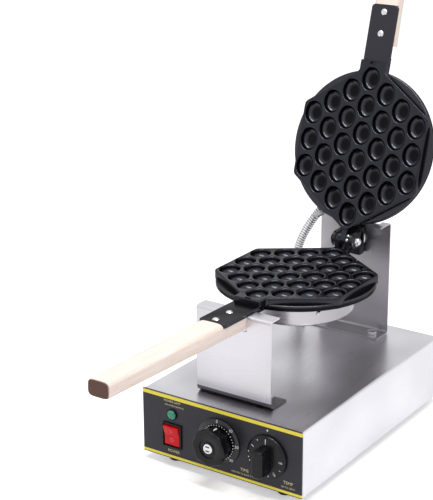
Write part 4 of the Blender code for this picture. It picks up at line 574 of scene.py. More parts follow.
def make_finishes():
    """Every material, by its name."""
    along_y, along_x = (0.35, 40, 0.35), (40, 0.35, 0.35)
    inks = {"white": ("#dfdfe2", "#f4f4f6"), "yellow": ("#c9b98a", "#e2d6a4"), "pink": ("#e8555e", "#f4747a")}
    return {
        # Painted shade: the base's faces that look up take the darker pair.
        "brushed base": brushed_stainless(
            "stainless_brushed_lengthwise", along_y, "#d8d7dd", "#e6e5ea", above=("#b4b2b8", "#dcdbe0")
        ),
        # Painted shade: the rest is tinted dark below its bend's top, as shade and reflection there.
        "brushed rest": brushed_stainless(
            "stainless_brushed_across", along_x, "#cbcacf", "#dcdae0", painted_bend_shade=100.3 * MM
        ),
        "brushed bracket": brushed_stainless("stainless_dull_across", along_x, "#a5a3a8", "#bdbbc0"),
        "polished cover": brushed_stainless(
            "stainless_spun_cover", 0.5, "#a5a3a8", "#cbc9cd", (0.2, 0.34), place=spun_place
        ),
        "casting": casting_coat(),
        # Satin black enamel on a forged steel yoke: slight orange peel.
        "enamel": even_finish(
            "satin_black_enamel", "#101114", 0.34, 1.6, gloss=(0.28, 0.42), bump=(0.05, 0.4),
            Specular_IOR_Level=0.4,
        ),
        "beech": sanded_beech(),
        # Bright zinc on turned and pressed steel: mirror-like with faint turning marks.
        "zinc": even_finish("bright_zinc_plate", "#dcdce0", 0.2, 0.8, metallic=1, gloss=(0.14, 0.28)),
        "hose": galvanised_hose(),
        # Moulded black ABS, lightly spark-eroded: an even satin whose fine grain is drawn coarser
        # than it is, so that it shows.
        "black plastic": even_finish(
            "black_moulded_abs", "#0e0e12", 0.26, 0.6, gloss=(0.2, 0.32), bump=(0.02, 0.4),
            Specular_IOR_Level=0.28,
        ),
        # The same black ABS from a polished mould: glossy, with faint wear.
        "gloss plastic": even_finish("black_polished_abs", "#0e0e11", 0.16, 4, gloss=(0.12, 0.22)),
        # Red and green clear plastics over a lamp: light passes in and tints the edges.
        "red plastic": even_finish(
            "red_polycarbonate", "#d2000f", 0.28, 5, tint=("#c4000c", "#e00012"), Specular_IOR_Level=0.25
        ),
        "green lens": even_finish(
            "green_lamp_lens", "#2a9a78", 0.12, 3, tint=("#1f8465", "#46b894"), Transmission_Weight=0.2
        ),
        # Moulded rubber: dead black and matt, dusty on its skin.
        "rubber": even_finish(
            "moulded_rubber", "#202022", 0.75, 4, tint=("#1b1b1d", "#2a2a2c"), bump=(0.05, 0.5)
        ),
        # White moulded phenolic of the works inside.
        "pale plastic": even_finish(
            "white_moulded_phenolic", "#dcdad2", 0.5, 6, tint=("#d3d1c8", "#e4e2da"), place=bench_place
        ),
        # Heater sheath of heat-tinted steel: brown and grey patches.
        "sheath": even_finish(
            "heat_tinted_sheath", "#6f655d", 0.45, 14, metallic=1, tint=("#5b5048", "#8a8178"),
            place=bench_place,
        ),
        # Printing ink: flat, in three colours, slightly uneven as screen printing is.
        **{
            f"{word} ink": even_finish(f"{word}_screen_ink", pair[1], 0.5, 0.5, tint=pair)
            for word, pair in inks.items()
        },
        "panel": printed_panel(),
    }


# Pieces

FINISHES = {}
CAPITAL_SHARE = 0.7  # of the font's size
DOT_RADIUS = 0.75 * MM
REPAINTED = {  # the frame's nodes that keep their own shape, by their finish
    "brushed base": ("base_shell", "bottom_plate"),
    "brushed rest": ("front_rest",),
    "brushed bracket": ("rear_bracket",),
    "panel": ("control_panel",),
    "pale plastic": ("timer_body", "thermostat_body", "terminal_block"),
    "sheath": ("lower_heating_element", "upper_heating_element"),
    "zinc": ("timer_spindle", "thermostat_spindle"),
}
LABELS = (  # name, words, height, and the place of their middle across the panel and above the table
    ("label_lamp", "POWER LAMP", 2.7, -67.4, 83.5),
    ("label_lamp_small", "ON WHEN HEATING", 2, -64.5, 78.5),
    ("label_rocker", "POWER", 3.4, -66, 19.8),
    ("label_timer", "TIME", 3.8, 33.8, 23.9),
    ("label_timer_small", "MINUTES TO BAKE  0 TO 60", 2, 33.6, 18.6),
    ("label_thermostat", "TEMP", 3.8, 92.5, 24.4),
    ("label_thermostat_small", "100 TO 250 C", 2.2, 92.2, 18.6),
)


def new_object(name, data):
    made = bpy.data.objects.new(name, data)
    bpy.context.scene.collection.objects.link(made)
    return made


def add_piece(name, shape, place, finish_name, body, stands_for=(), smooth=35, join=True):
    """Makes the mesh, keeps each point's own place on it, and puts it on its body."""
    points, faces = shape
    mesh = bpy.data.meshes.new(name)
    mesh.from_pydata(points.tolist(), [], faces)
    if join:
        work = bmesh.new()
        work.from_mesh(mesh)
        bmesh.ops.remove_doubles(work, verts=work.verts, dist=TINY / 4)
        bmesh.ops.recalc_face_normals(work, faces=work.faces)
        work.to_mesh(mesh)
        work.free()
    here = np.empty(len(mesh.vertices) * 3, np.float32)
    mesh.vertices.foreach_get("co", here)
    own = mesh.attributes.new("own_place", "FLOAT_VECTOR", "POINT")
    own.data.foreach_set("vector", here)
    mesh.transform(Matrix(place.tolist()))
    mesh.shade_smooth()
    mesh.set_sharp_from_angle(angle=math.radians(smooth))
    mesh.materials.append(FINISHES[finish_name])
    piece = new_object(name, mesh)
    if stands_for:
        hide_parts(*stands_for)
    if body:
        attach(piece, body)
    return piece





# Castings


CELL_ROWS = (3, 4, 5, 6, 5, 4, 3)
CELL_PITCH_X = 24.3 * MM
CELL_PITCH_Y = 34.3 * MM


def cell_centres():
    """Seven columns of cells, each column's cells set half a pitch off its neighbours'."""
    middle = (len(CELL_ROWS) - 1) / 2
    centres = [
        ((column - middle) * CELL_PITCH_X, (row - (count - 1) / 2) * CELL_PITCH_Y)
        for column, count in enumerate(CELL_ROWS)
        for row in range(count)
    ]
    return raised(np.array(centres), 0)


def cell_profile(settings):
    """(radius, height) from a cell's bottom up its wall and over its rounded lip to the land.

    The bowl is a superellipse: radius cos(t)^(2/n) and depth sin(t)^(2/n), n a little over 2, so
    that its wall is steeper and its bottom flatter than a ball's. The lip is a quarter round.
    """
    lip = settings.lip
    power = 2 / settings.squareness
    t = np.radians(np.linspace(QUARTER, 0, settings.bowl_steps + 1))
    radius = settings.cell_radius * np.cos(t) ** power
    depth = lip + (settings.cell_depth - lip) * np.sin(t) ** power
    bowl = np.stack([radius, -depth], axis=1)
    bowl[0, 0] = 0
    around = arc(lip, HALF_TURN, QUARTER, 4, (settings.cell_radius + lip, -lip))
    return np.vstack([bowl, around[1:]])


def cells(settings):
    """All cells at once: one turned profile, drawn out along Y, repeated at every centre."""
    points, faces = turned(cell_profile(settings), settings.cell_steps)
    return repeated((points * (1, settings.cell_length, 1), faces), cell_centres())


def mould_outline():
    """The hexagon of the face with the neck at its front, its rear point cut short."""
    side, corner, tip, rear, neck = mm(87.5, 46.5, 107.5, 106.1, 18)
    rear_half = side * (tip - rear) / (tip - corner)
    neck_root = tip - (tip - corner) * neck / side
    right = [(neck, -STEP_REACH), (neck, -neck_root), (side, -corner), (side, corner), (rear_half, rear)]
    corners = right + [(-x, y) for x, y in reversed(right)]
    return softened(corners, mm(1, 4, 8, 8, 1, 1, 8, 8, 4, 1))


def filled_land(shape):
    """Fills the flat land between the outline's top ring, the cells' lips and the recess."""
    points, faces = shape
    work = bmesh.new()
    mesh = bpy.data.meshes.new("land")
    mesh.from_pydata(points.tolist(), [], faces)
    work.from_mesh(mesh)
    bmesh.ops.remove_doubles(work, verts=work.verts, dist=TINY / 4)
    for level_low, level_high in ((-TINY, TINY), (-1, -2 * TINY)):
        ends = [
            edge
            for edge in work.edges
            if edge.is_boundary and all(level_low < vert.co.z < level_high for vert in edge.verts)
        ]
        bmesh.ops.triangle_fill(work, use_beauty=True, use_dissolve=False, edges=ends)
    work.verts.index_update()
    points = np.array([vert.co for vert in work.verts])
    faces = [[vert.index for vert in face.verts] for face in work.faces]
    work.free()
    bpy.data.meshes.remove(mesh)
    return points, faces


def rim(outline):
    """The round rim as a shell, open towards the cells: a disc at its back and a wall round it.

    The profile runs out along the inside of the disc, up the wall that stays half a millimetre
    inside the hexagon, over the rim's rounded edge and back along its rear face. The hexagon's
    reach at an angle is where that ray crosses one of its sides: reach way = start + share side.
    Where the hexagon reaches beyond the rim, the wall ends inside it.
    """
    angles = np.linspace(0, math.tau, 240, endpoint=False)
    way = np.stack([np.cos(angles), np.sin(angles)], axis=1)[:, None]
    start, side = outline[None], (np.roll(outline, -1, 0) - outline)[None]
    crossing = way[..., 0] * side[..., 1] - way[..., 1] * side[..., 0]
    crossing = np.where(np.abs(crossing) < 1e-9, 1e-9, crossing)
    reach = (start[..., 0] * side[..., 1] - start[..., 1] * side[..., 0]) / crossing
    share = (start[..., 0] * way[..., 1] - start[..., 1] * way[..., 0]) / crossing
    reach = np.where((share >= 0) & (share <= 1) & (reach > 0), reach, 1).min(axis=1)[:, None]
    inside_face, inside_rim, top_round, back_round = mm(0.5, 0.3, 2, 1)
    inner = np.minimum(reach - inside_face, RIM_RADIUS - inside_rim)

    top, floor, hidden = mm(-7.2, -13.4, -10.2)
    upper = arc(top_round, QUARTER, 0, 5, (RIM_RADIUS - top_round, top - top_round))
    under = arc(back_round, 0, -QUARTER, 3, (RIM_RADIUS - back_round, back_round - RIM_BACK))
    outside = np.vstack([upper, under])
    middle = np.zeros_like(inner)
    radius = np.hstack([middle, inner, inner, np.maximum(outside[:, 0], inner), middle])
    height = np.array([floor, floor, top, *outside[:, 1], -RIM_BACK]) + middle
    height = np.where((reach > RIM_RADIUS) & (height > hidden), hidden, height)
    return grid(polar(radius, angles[:, None], height), wrap_across=True)


def casting(settings, lower):
    """One half's casting: face, rim, neck, arm, lugs for the cover and hinge knuckles."""
    outline = mould_outline()
    skirt = 10.7 * MM
    edge = settings.edge
    top = arc(edge, QUARTER, 0, 4, (0, -edge))
    side = slab(outline, [(edge - x, z) for x, z in top] + [(0, -skirt)], caps=False)
    recess = softened(rectangle(mm(-4, -107.2), mm(4, -103.7)), 0.6 * MM, 2)
    points, faces = slab(recess, mm((0, 0), (0.2, -2.7), (0.5, -3)), caps=False)
    floor = [list(range(2 * len(recess), 3 * len(recess)))]
    face = filled_land(joined(side, (points, faces + floor), cells(settings)))

    behind = [(-114.6 * MM, -RIM_BACK), (-83 * MM, -RIM_BACK)]
    before = mm((-83, -12.2), (-100.6, -12.2), (-100.6, -6.5), (-114.6, -6.5))
    neck = side_plate([*behind, *before], *mm(-17, 17))
    arm_outline = softened(rectangle(mm(-18, -63.5), mm(18, 14)), mm(4, 4, 1, 1))
    arm = placed(slab(arm_outline, rounded_levels(-5 * MM, 0, 0.7 * MM)), ARM_IN_FACE)
    lug = rounded_box(mm(62.1, -6, -33.2), mm(69.1, 6, -10.7), *mm(1, 0.5))
    lugs = [
        placed(lug, turn("Z", angle if lower else HALF_TURN - angle)) for angle in COVER_SCREW_ANGLES
    ]
    return joined(face, rim(outline), neck, arm, *lugs, *knuckles(lower))


def knuckles(lower):
    """Plates that rise behind the last cell to the hinge pin, rounded about it."""
    start, radius, under = mm(100.4, 9, -1)
    if lower:
        foot = PIN_BEHIND_CENTRE - 10 * MM
        height, low, first, last = PIN_ABOVE_FACE, -12 * MM, -50, HALF_TURN
        root, end = [(start, low), (foot, low)], [(foot, under)]
        widths = mm((-9.7, -4), (4, 9.7))
    else:
        height, low, first, last = FACE_GAP - PIN_ABOVE_FACE, -8.3 * MM, -110, 130
        root, end = [(start, low)], []
        widths = mm((-3.7, 3.7))
    around = arc(radius, first, last, 18, (PIN_BEHIND_CENTRE, height))
    outline = [*root, *around, *end, (start, under)]
    return [side_plate(outline, *sides) for sides in widths]


def wooden_grip():
    """A tapered grip: a rounded section carried along the arm, lowered where the arm laps it.

    The section is a superellipse, |x / a|^n + |z / b|^n = 1; its half sizes a and b fall evenly
    from the arm to the end, and close over the last few millimetres as a quarter round.
    """
    start, lap, end, closing, lapped_level = mm(-15, -63.8, -264, 3, -5.3)
    squareness, steps, closed, eased = 4.5, 64, 0.88, 0.97
    half_wide, narrowing, half_deep, thinning = 17.25, 3.5, 11, 1.5
    rounding = np.radians(np.linspace(0, QUARTER, 6))[1:]
    body = np.linspace(lap - TINY, end + closing, 30)
    ending = end + closing * (1 - np.sin(rounding))
    along = np.concatenate([[start, start - 0.01 * MM, lap], body, ending])
    share = (start - along) / (start - end)
    shrink = np.ones_like(along)
    shrink[-len(rounding) :] = np.cos(rounding) * (1 - closed) + closed
    shrink[0] = eased
    half_width = (half_wide - narrowing * share) * MM * shrink
    half_depth = (half_deep - thinning * share) * MM
    angles = np.linspace(0, math.tau, steps, endpoint=False)
    across, upward = (
        np.sign(wave) * np.abs(wave) ** (2 / squareness) for wave in (np.cos(angles), np.sin(angles))
    )
    x = half_width[:, None] * across
    z = -half_depth[:, None] + (half_depth * shrink)[:, None] * upward
    z = np.where(along[:, None] > lap - TINY / 2, np.minimum(z, lapped_level), z)
    return stacked(np.stack(np.broadcast_arrays(x, along[:, None], z), axis=-1))


def slotted_screw(*sizes):
    """A domed head over its shank. Millimetres: head radius and height, shank radius and length."""
    radius, height, shank, length = mm(*sizes)
    head = placed(slotted_head(radius, height, *mm(1, 0.9)), move(0, 0, SEAT))
    under = 0.5 * MM
    stem = turned([(0, under), (shank, under), (shank, under - length), (0, -length)], 16)
    return joined(head, stem)


def heater_cover():
    """The spun cup behind the rim: a thin wall, a rounded shoulder and a flat bottom with a bead."""
    wall, bottom, edge, top = mm(1.2, -42.5, 3.5, -14.5)
    centre = (COVER_RADIUS - edge, bottom + edge)
    outside = arc(edge, 0, -QUARTER, 8, centre)
    inside = arc(edge - wall, -QUARTER, 0, 8, centre)
    bead = mm((52, 0), (50.5, 0.8), (49, 0.8), (47.5, 0)) + (0, bottom)
    front = [(COVER_RADIUS - wall, top), (COVER_RADIUS, top), *outside, *bead, (0, bottom)]
    back = [(0, bottom + wall), *(bead[::-1] + (0, wall)), *inside, (COVER_RADIUS - wall, top)]
    return turned(front + back, 128)


def conduit_fitting(*sizes):
    """A hexagon nut with a ferrule beyond it and a threaded stem behind, bored through.

    Sizes in millimetres: the nut across its flats and its length, the ferrule's radius, its end
    above the seat, the stem's radius and its length below the seat.
    """
    nut_across, nut_length, collar_radius, length, stem_radius, stem_length = mm(*sizes)
    nut = placed(hexagon_head(nut_across, nut_length), move(0, 0, SEAT))
    lip = 0.6 * MM
    ring = [
        (HOSE_BORE, length), (collar_radius - lip, length), (collar_radius, length - lip),
        (collar_radius, nut_length), (stem_radius, nut_length), (stem_radius, -stem_length),
        (HOSE_BORE, -stem_length), (HOSE_BORE, length),
    ]
    return joined(nut, turned(ring, 48))


def route(start, start_way, end, end_way):
    """The hose's middle line: straight at each end, and one cubic bend between.

    The bend is (1-s)^3 a + 3 (1-s)^2 s b + 3 (1-s) s^2 c + s^3 d, its two handles lying along
    the ways in which the hose leaves.
    """
    straight, curl_share = 12 * MM, 0.42
    curl = curl_share * np.linalg.norm(end - start)
    a = start + start_way * straight
    d = end + end_way * straight
    b = a + start_way * curl
    c = d + end_way * curl
    s = np.linspace(0, 1, 400)[:, None]
    bend = (1 - s) ** 3 * a + 3 * (1 - s) ** 2 * s * b + 3 * (1 - s) * s**2 * c + s**3 * d
    line = np.vstack([start, bend, end])
    length = np.concatenate([[0], np.cumsum(np.linalg.norm(np.diff(line, axis=0), axis=1))])
    return line, length


def ribbed_hose(line, length, settings):
    """Rings along the hose whose radius is the mean plus a rounded wave, one wave a rib."""
    ribs = round(length[-1] / settings.rib_pitch)
    places = np.linspace(0, length[-1], 8 * ribs + 1)
    path = np.stack([np.interp(places, length, line[:, axis]) for axis in range(3)], axis=1)
    wave = (0.5 - 0.5 * np.cos(places / length[-1] * ribs * math.tau)) ** 0.6
    radii = settings.hose_radius - settings.rib_depth * (1 - wave)
    return path, radii, wave


# Settings that a user would change


def length_setting(name, description, millimetres):
    default = millimetres * MM
    return FloatProperty(name=name, description=description, default=default, unit="LENGTH", precision=4)


class WaffleCastingSettings(bpy.types.PropertyGroup):
    cell_radius: length_setting("Cell radius", "Half width of a bubble cell inside its lip", 11.9)
    cell_length: FloatProperty(
        name="Cell length", description="Length of a cell over its width", default=1.2, min=1
    )
    cell_depth: length_setting("Cell depth", "Depth of a bubble cell below the land", 10.3)
    lip: length_setting("Lip radius", "Quarter round between a cell and the land", 2)
    edge: length_setting("Edge radius", "Quarter round along the face's outer edge", 1.3)
    squareness: FloatProperty(
        name="Cell squareness", description="2 gives a ball; more, a flatter bottom", default=2.8, min=1.5
    )
    cell_steps: IntProperty(name="Cell steps", description="Faces round a cell", default=48, min=12)
    bowl_steps: IntProperty(
        name="Bowl steps", description="Faces from a cell's bottom to its lip", default=12, min=4
    )


class WaffleHoseSettings(bpy.types.PropertyGroup):
    hose_radius: length_setting("Hose radius", "Outer radius of the ribbed metal hose", 6)
    rib_depth: length_setting("Rib depth", "Height of a rib over the valley beside it", 0.9)
    rib_pitch: length_setting("Rib pitch", "Distance from one rib to the next", 3.2)


class WaffleStudioSettings(bpy.types.PropertyGroup):
    floor_colour: FloatVectorProperty(
        name="Floor colour", description="Colour of the studio floor", subtype="COLOR", size=3,
        default=(0.87, 0.87, 0.87),
    )
    key_power: FloatProperty(
        name="Key light", description="Power of the main light", default=27, unit="POWER"
    )
    strip_power: FloatProperty(
        name="Strip light", description="Power of the long strip light", default=23, unit="POWER"
    )





class WAFFLE_OT_finishes(bpy.types.Operator):
    """Makes every material and gives the frame's own sheet metal and inner parts theirs"""

    bl_idname = "waffle.finishes"
    bl_label = "Finishes"

    def execute(self, context):
        FINISHES.update(make_finishes())
        for finish_name, names in REPAINTED.items():
            for name in names:
                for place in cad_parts[name].material_slots:
                    place.material = FINISHES[finish_name]
        return {"FINISHED"}


def face_of(lower):
    return LOWER_FACE if lower else UPPER_FACE


HALVES = (("lower", True, "lower_half"), ("upper", False, "upper_half"))


class WAFFLE_OT_castings(bpy.types.Operator):
    """Makes the two hexagonal castings with their round cells"""

    bl_idname = "waffle.castings"
    bl_label = "Castings"

    def execute(self, context):
        settings = context.scene.waffle_casting
        for name, lower, body in HALVES:
            shape = casting(settings, lower)
            add_piece(f"{name}_casting", shape, face_of(lower), "casting", body, [f"{name}_mould"])
        return {"FINISHED"}


class WAFFLE_OT_grips(bpy.types.Operator):
    """Makes the wooden grips and the screws that hold them under the arms"""

    bl_idname = "waffle.grips"
    bl_label = "Grips"

    def execute(self, context):
        for name, lower, body in HALVES:
            arm = face_of(lower) @ ARM_IN_FACE
            grip = wooden_grip()
            add_piece(f"{name}_wooden_grip", grip, arm, "beech", body, [f"{name}_grip"])
            screw = slotted_screw(4.3, 2, 1.8, 15)
            for i, along in enumerate(mm(27.5, 54.5), 1):
                place = arm @ move(0, -along, 0) @ turn("Z", 40 * i)
                add_piece(f"{name}_arm_screw_{i}", screw, place, "zinc", body, [f"{name}_grip_screw_{i}"])
        return {"FINISHED"}


def radial(lower, angle, level):
    """The frame of a piece on the cover's wall, pointing straight out of it."""
    shown = angle if lower else HALF_TURN - angle
    return face_of(lower) @ turn("Z", shown) @ move(COVER_RADIUS, 0, level) @ TO_RIGHT


class WAFFLE_OT_heater_covers(bpy.types.Operator):
    """Makes the spun covers behind the castings, their screws and the hose fittings"""

    bl_idname = "waffle.heater_covers"
    bl_label = "Heater covers"

    def execute(self, context):
        for name, lower, body in HALVES:
            cover, stands_for = heater_cover(), [f"{name}_heater_cover"]
            add_piece(f"{name}_spun_cover", cover, face_of(lower), "polished cover", body, stands_for)
            screw = slotted_screw(3, 1.6, 1.4, 7)
            for i, angle in enumerate(COVER_SCREW_ANGLES, 1):
                place = radial(lower, angle, COVER_SCREW_LEVEL) @ turn("Z", 25 * i)
                add_piece(f"{name}_wall_screw_{i}", screw, place, "zinc", body, [f"{name}_cover_screw_{i}"])
            fitting = conduit_fitting(*COVER_FITTING)
            place = radial(lower, FITTING_ANGLE, FITTING_LEVEL)
            add_piece(f"{name}_cover_fitting", fitting, place, "zinc", body, [f"{name}_conduit_fitting"])
        return {"FINISHED"}


def hose_end(place, fitting):
    """Where a hose leaves its fitting, and the way in which it does."""
    way, length = place[:3, 2], fitting[3] * MM
    return place[:3, 3] + way * (length + SEAT), way


class WAFFLE_OT_hoses(bpy.types.Operator):
    """Makes the two ribbed hoses that carry the heaters' wires, and their glands on the base"""

    bl_idname = "waffle.hoses"
    bl_label = "Hoses"

    def execute(self, context):
        settings = context.scene.waffle_hose
        for name, lower, _ in HALVES:
            gland_place = BENCH @ move(*GLAND_PLACES[name], BASE_TOP)
            gland = conduit_fitting(*BASE_GLAND)
            add_piece(f"{name}_base_gland", gland, gland_place, "zinc", "root", [f"{name}_conduit_gland"])
            start = hose_end(radial(lower, FITTING_ANGLE, FITTING_LEVEL), COVER_FITTING)
            line = route(*start, *hose_end(gland_place, BASE_GLAND))
            hose = ribbed_hose(*line, settings)
            if lower:
                self.hose("lower_hose", *hose, ("lower_half", "root"), ["lower_conduit"])
                continue
            half = len(hose[0]) // 2
            head, foot = ([part[cut] for part in hose] for cut in (slice(half + 1), slice(half, None)))
            self.hose("upper_hose_head", *head, ("upper_half", "lower_half"), ["upper_conduit"])
            self.hose("upper_hose_foot", *foot, ("lower_half", "root"), [])
        return {"FINISHED"}

    def hose(self, name, path, radii, wave, bodies, stands_for):
        """Makes a length of hose. The pair of bodies that it is given is not used."""
        steps = 20
        shape = tube(path, radii, HOSE_BORE, steps)
        hose = add_piece(name, shape, np.eye(4), "hose", None, stands_for, 50, False)
        rib = hose.data.attributes.new("rib", "FLOAT", "POINT")
        values = np.concatenate([np.repeat(wave, steps), np.zeros(len(wave) * steps)])
        rib.data.foreach_set("value", values.astype(np.float32))
        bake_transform(hose)


class WAFFLE_OT_hinge(bpy.types.Operator):
    """Makes the yoke, its shaft and bush, and the hinge pin with its domed nut"""

    bl_idname = "waffle.hinge"
    bl_label = "Hinge and swivel"

    def execute(self, context):
        section = mm((11.6, -22), (23.1, -22), (23.1, 13.5), (16.6, 13.5), (11.6, 3))
        block = side_plate(softened(section, 1.5 * MM), -EAR_OUTSIDE, EAR_OUTSIDE, 1.2 * MM)
        middle = 17.35 * MM
        around = arc(EAR_RADIUS, QUARTER, 3 * QUARTER, 16)
        outline = [(middle, -EAR_RADIUS), (middle, EAR_RADIUS), *around]
        ears = [side_plate(outline[::-1], low, low + 5 * MM) for low in (-EAR_OUTSIDE, 10 * MM)]
        swivel = move(0, 0, SHAFT_LEVEL) @ TO_BACK
        shaft = placed(turned(mm((0, 45), (7, 45), (8, 44), (8, 16), (0, 16)), 48), swivel)
        add_piece("hinge_yoke", joined(block, *ears, shaft), PIN, "enamel", "root", ["swivel_yoke"])

        bush = mm(
            (8.35, 35.9), (10.4, 35.9), (11, 35.3), (11, 25.1), (15, 25.1), (15, 24), (14.4, 23.4),
            (8.35, 23.4), (8.35, 35.9),
        )
        add_piece("shaft_bush", turned(bush), PIN @ swivel, "zinc", "root", ["swivel_bush"])
        nut = placed(hexagon_head(*mm(24.2, 8)), move(0, 0, 36.3 * MM))
        add_piece("shaft_nut", nut, PIN @ swivel, "zinc", "root", ["swivel_nut"])

        outside = move(0, 0, EAR_OUTSIDE + SEAT)
        pin = turned(mm((0, -17.5), (4, -17.5), (4, 17), (3.5, 17.5), (0, 17.5)), 40)
        head = placed(hexagon_head(*mm(10, 3)), turn("X", HALF_TURN) @ outside)
        add_piece("hinge_bolt", joined(pin, head), PIN @ TO_RIGHT, "enamel", "root", ["hinge_pin"])
        skirt = placed(hexagon_head(*mm(10.4, 3.7)), outside)
        dome = arc(1, QUARTER, 0, 10) * mm(4.8, 3.8) + mm(0, 18.9)
        cap = turned([*dome, *mm((4.8, 18), (0, 18))], 48)
        add_piece("domed_nut", joined(skirt, cap), PIN @ TO_RIGHT, "zinc", "root", ["hinge_nut"])

        screw = slotted_screw(1.7, 0.8, 1.2, 3)
        ear_middle, sunk = mm(6.85, 0.1)
        for i, angle in enumerate((18, 58), 1):
            on_ear = turn("X", -angle) @ TO_FRONT @ move(0, 0, EAR_RADIUS - sunk)
            place = PIN @ move(ear_middle, 0, 0) @ on_ear
            add_piece(f"ear_grub_screw_{i}", screw, place, "zinc", "lower_half")
        return {"FINISHED"}


class WAFFLE_OT_bolts_and_feet(bpy.types.Operator):
    """Makes the hexagon bolts of both brackets, the rubber feet and the mains gland"""

    bl_idname = "waffle.bolts_and_feet"
    bl_label = "Bolts and feet"

    def execute(self, context):
        bolts = {"front_rest": mm(36, 48.8), "rear_bracket": mm(36.5, 291.5)}
        sides = (("left", -1), ("right", 1))
        head = hexagon_head(*mm(10.3, 4))
        shank = turned(mm((0, 1), (2.9, 1), (2.9, -10), (0, -10)), 24)
        for i, (holder, (across, along)) in enumerate(bolts.items()):
            for j, (side, sign) in enumerate(sides):
                name = f"{holder}_bolt_{side}"
                place = BENCH @ move(sign * across, along, BOLT_SEAT) @ turn("Z", 17 * (2 * i + j))
                add_piece(f"{name}_head", joined(head, shank), place, "zinc", "root", [name])
        profile = mm((0, 9.7), (9.4, 9.7), (10, 9.1), (9, 0.8), (8.3, 0), (4.4, 0), (4, 0.4), (4, 4), (0, 4))
        foot = turned(profile, 48)
        for side, sign in sides:
            for end, along in (("front", FOOT_INSET), ("rear", BASE_DEPTH - FOOT_INSET)):
                place = BENCH @ move(sign * FOOT_ACROSS, along, 0)
                add_piece(f"rubber_foot_{end}_{side}", foot, place, "rubber", "root", [f"foot_{end}_{side}"])
        gland = mm(
            (4.5, 14.3), (7.4, 14.3), (8, 13.6), (10.4, 4.4), (11, 3.8), (11, 0.3), (8, 0.3), (8, -4.2),
            (4.5, -4.2), (4.5, 14.3),
        )
        place = BENCH @ move(MAINS_PLACE[0], BASE_DEPTH, MAINS_PLACE[1]) @ TO_BACK
        add_piece("cord_gland", turned(gland, 48), place, "black plastic", "root", ["mains_cord_gland"])
        return {"FINISHED"}


def lettering(name, words, height, place, finish_name, body):
    """Printed words or numbers as thin raised ink, centred on their place, capitals that high."""
    drawing = bpy.data.curves.new(name, "FONT")
    drawing.body = words
    drawing.size = height / CAPITAL_SHARE
    drawing.align_x = "CENTER"
    drawing.align_y = "CENTER"
    drawing.extrude = INK / 2
    drawing.resolution_u = 3
    guide = new_object(name, drawing)
    bpy.context.view_layer.update()
    mesh = bpy.data.meshes.new_from_object(guide.evaluated_get(bpy.context.evaluated_depsgraph_get()))
    points = np.array([vert.co for vert in mesh.vertices])
    faces = [list(face.vertices) for face in mesh.polygons]
    bpy.data.objects.remove(guide)
    bpy.data.curves.remove(drawing)
    bpy.data.meshes.remove(mesh)
    return add_piece(name, (points, faces), place, finish_name, body)


def dots(radius, level, angles):
    """Small round ink dots on a circle, angles in degrees clockwise from the top."""
    one = turned([(0, INK), (DOT_RADIUS, INK), (DOT_RADIUS, 0), (0, 0)], 12)
    return repeated(one, polar(radius, np.radians(QUARTER - np.asarray(angles, float)), level))


def dash(level, angle, start, end, width=0.9 * MM):
    """A short radial line of ink between two radii, its angle in degrees clockwise from the top."""
    low, high = (-width / 2, start, level), (width / 2, end, level + 0.08 * MM)
    return placed(rounded_box(low, high, *mm(0.2, 0.02)), turn("Z", -angle))


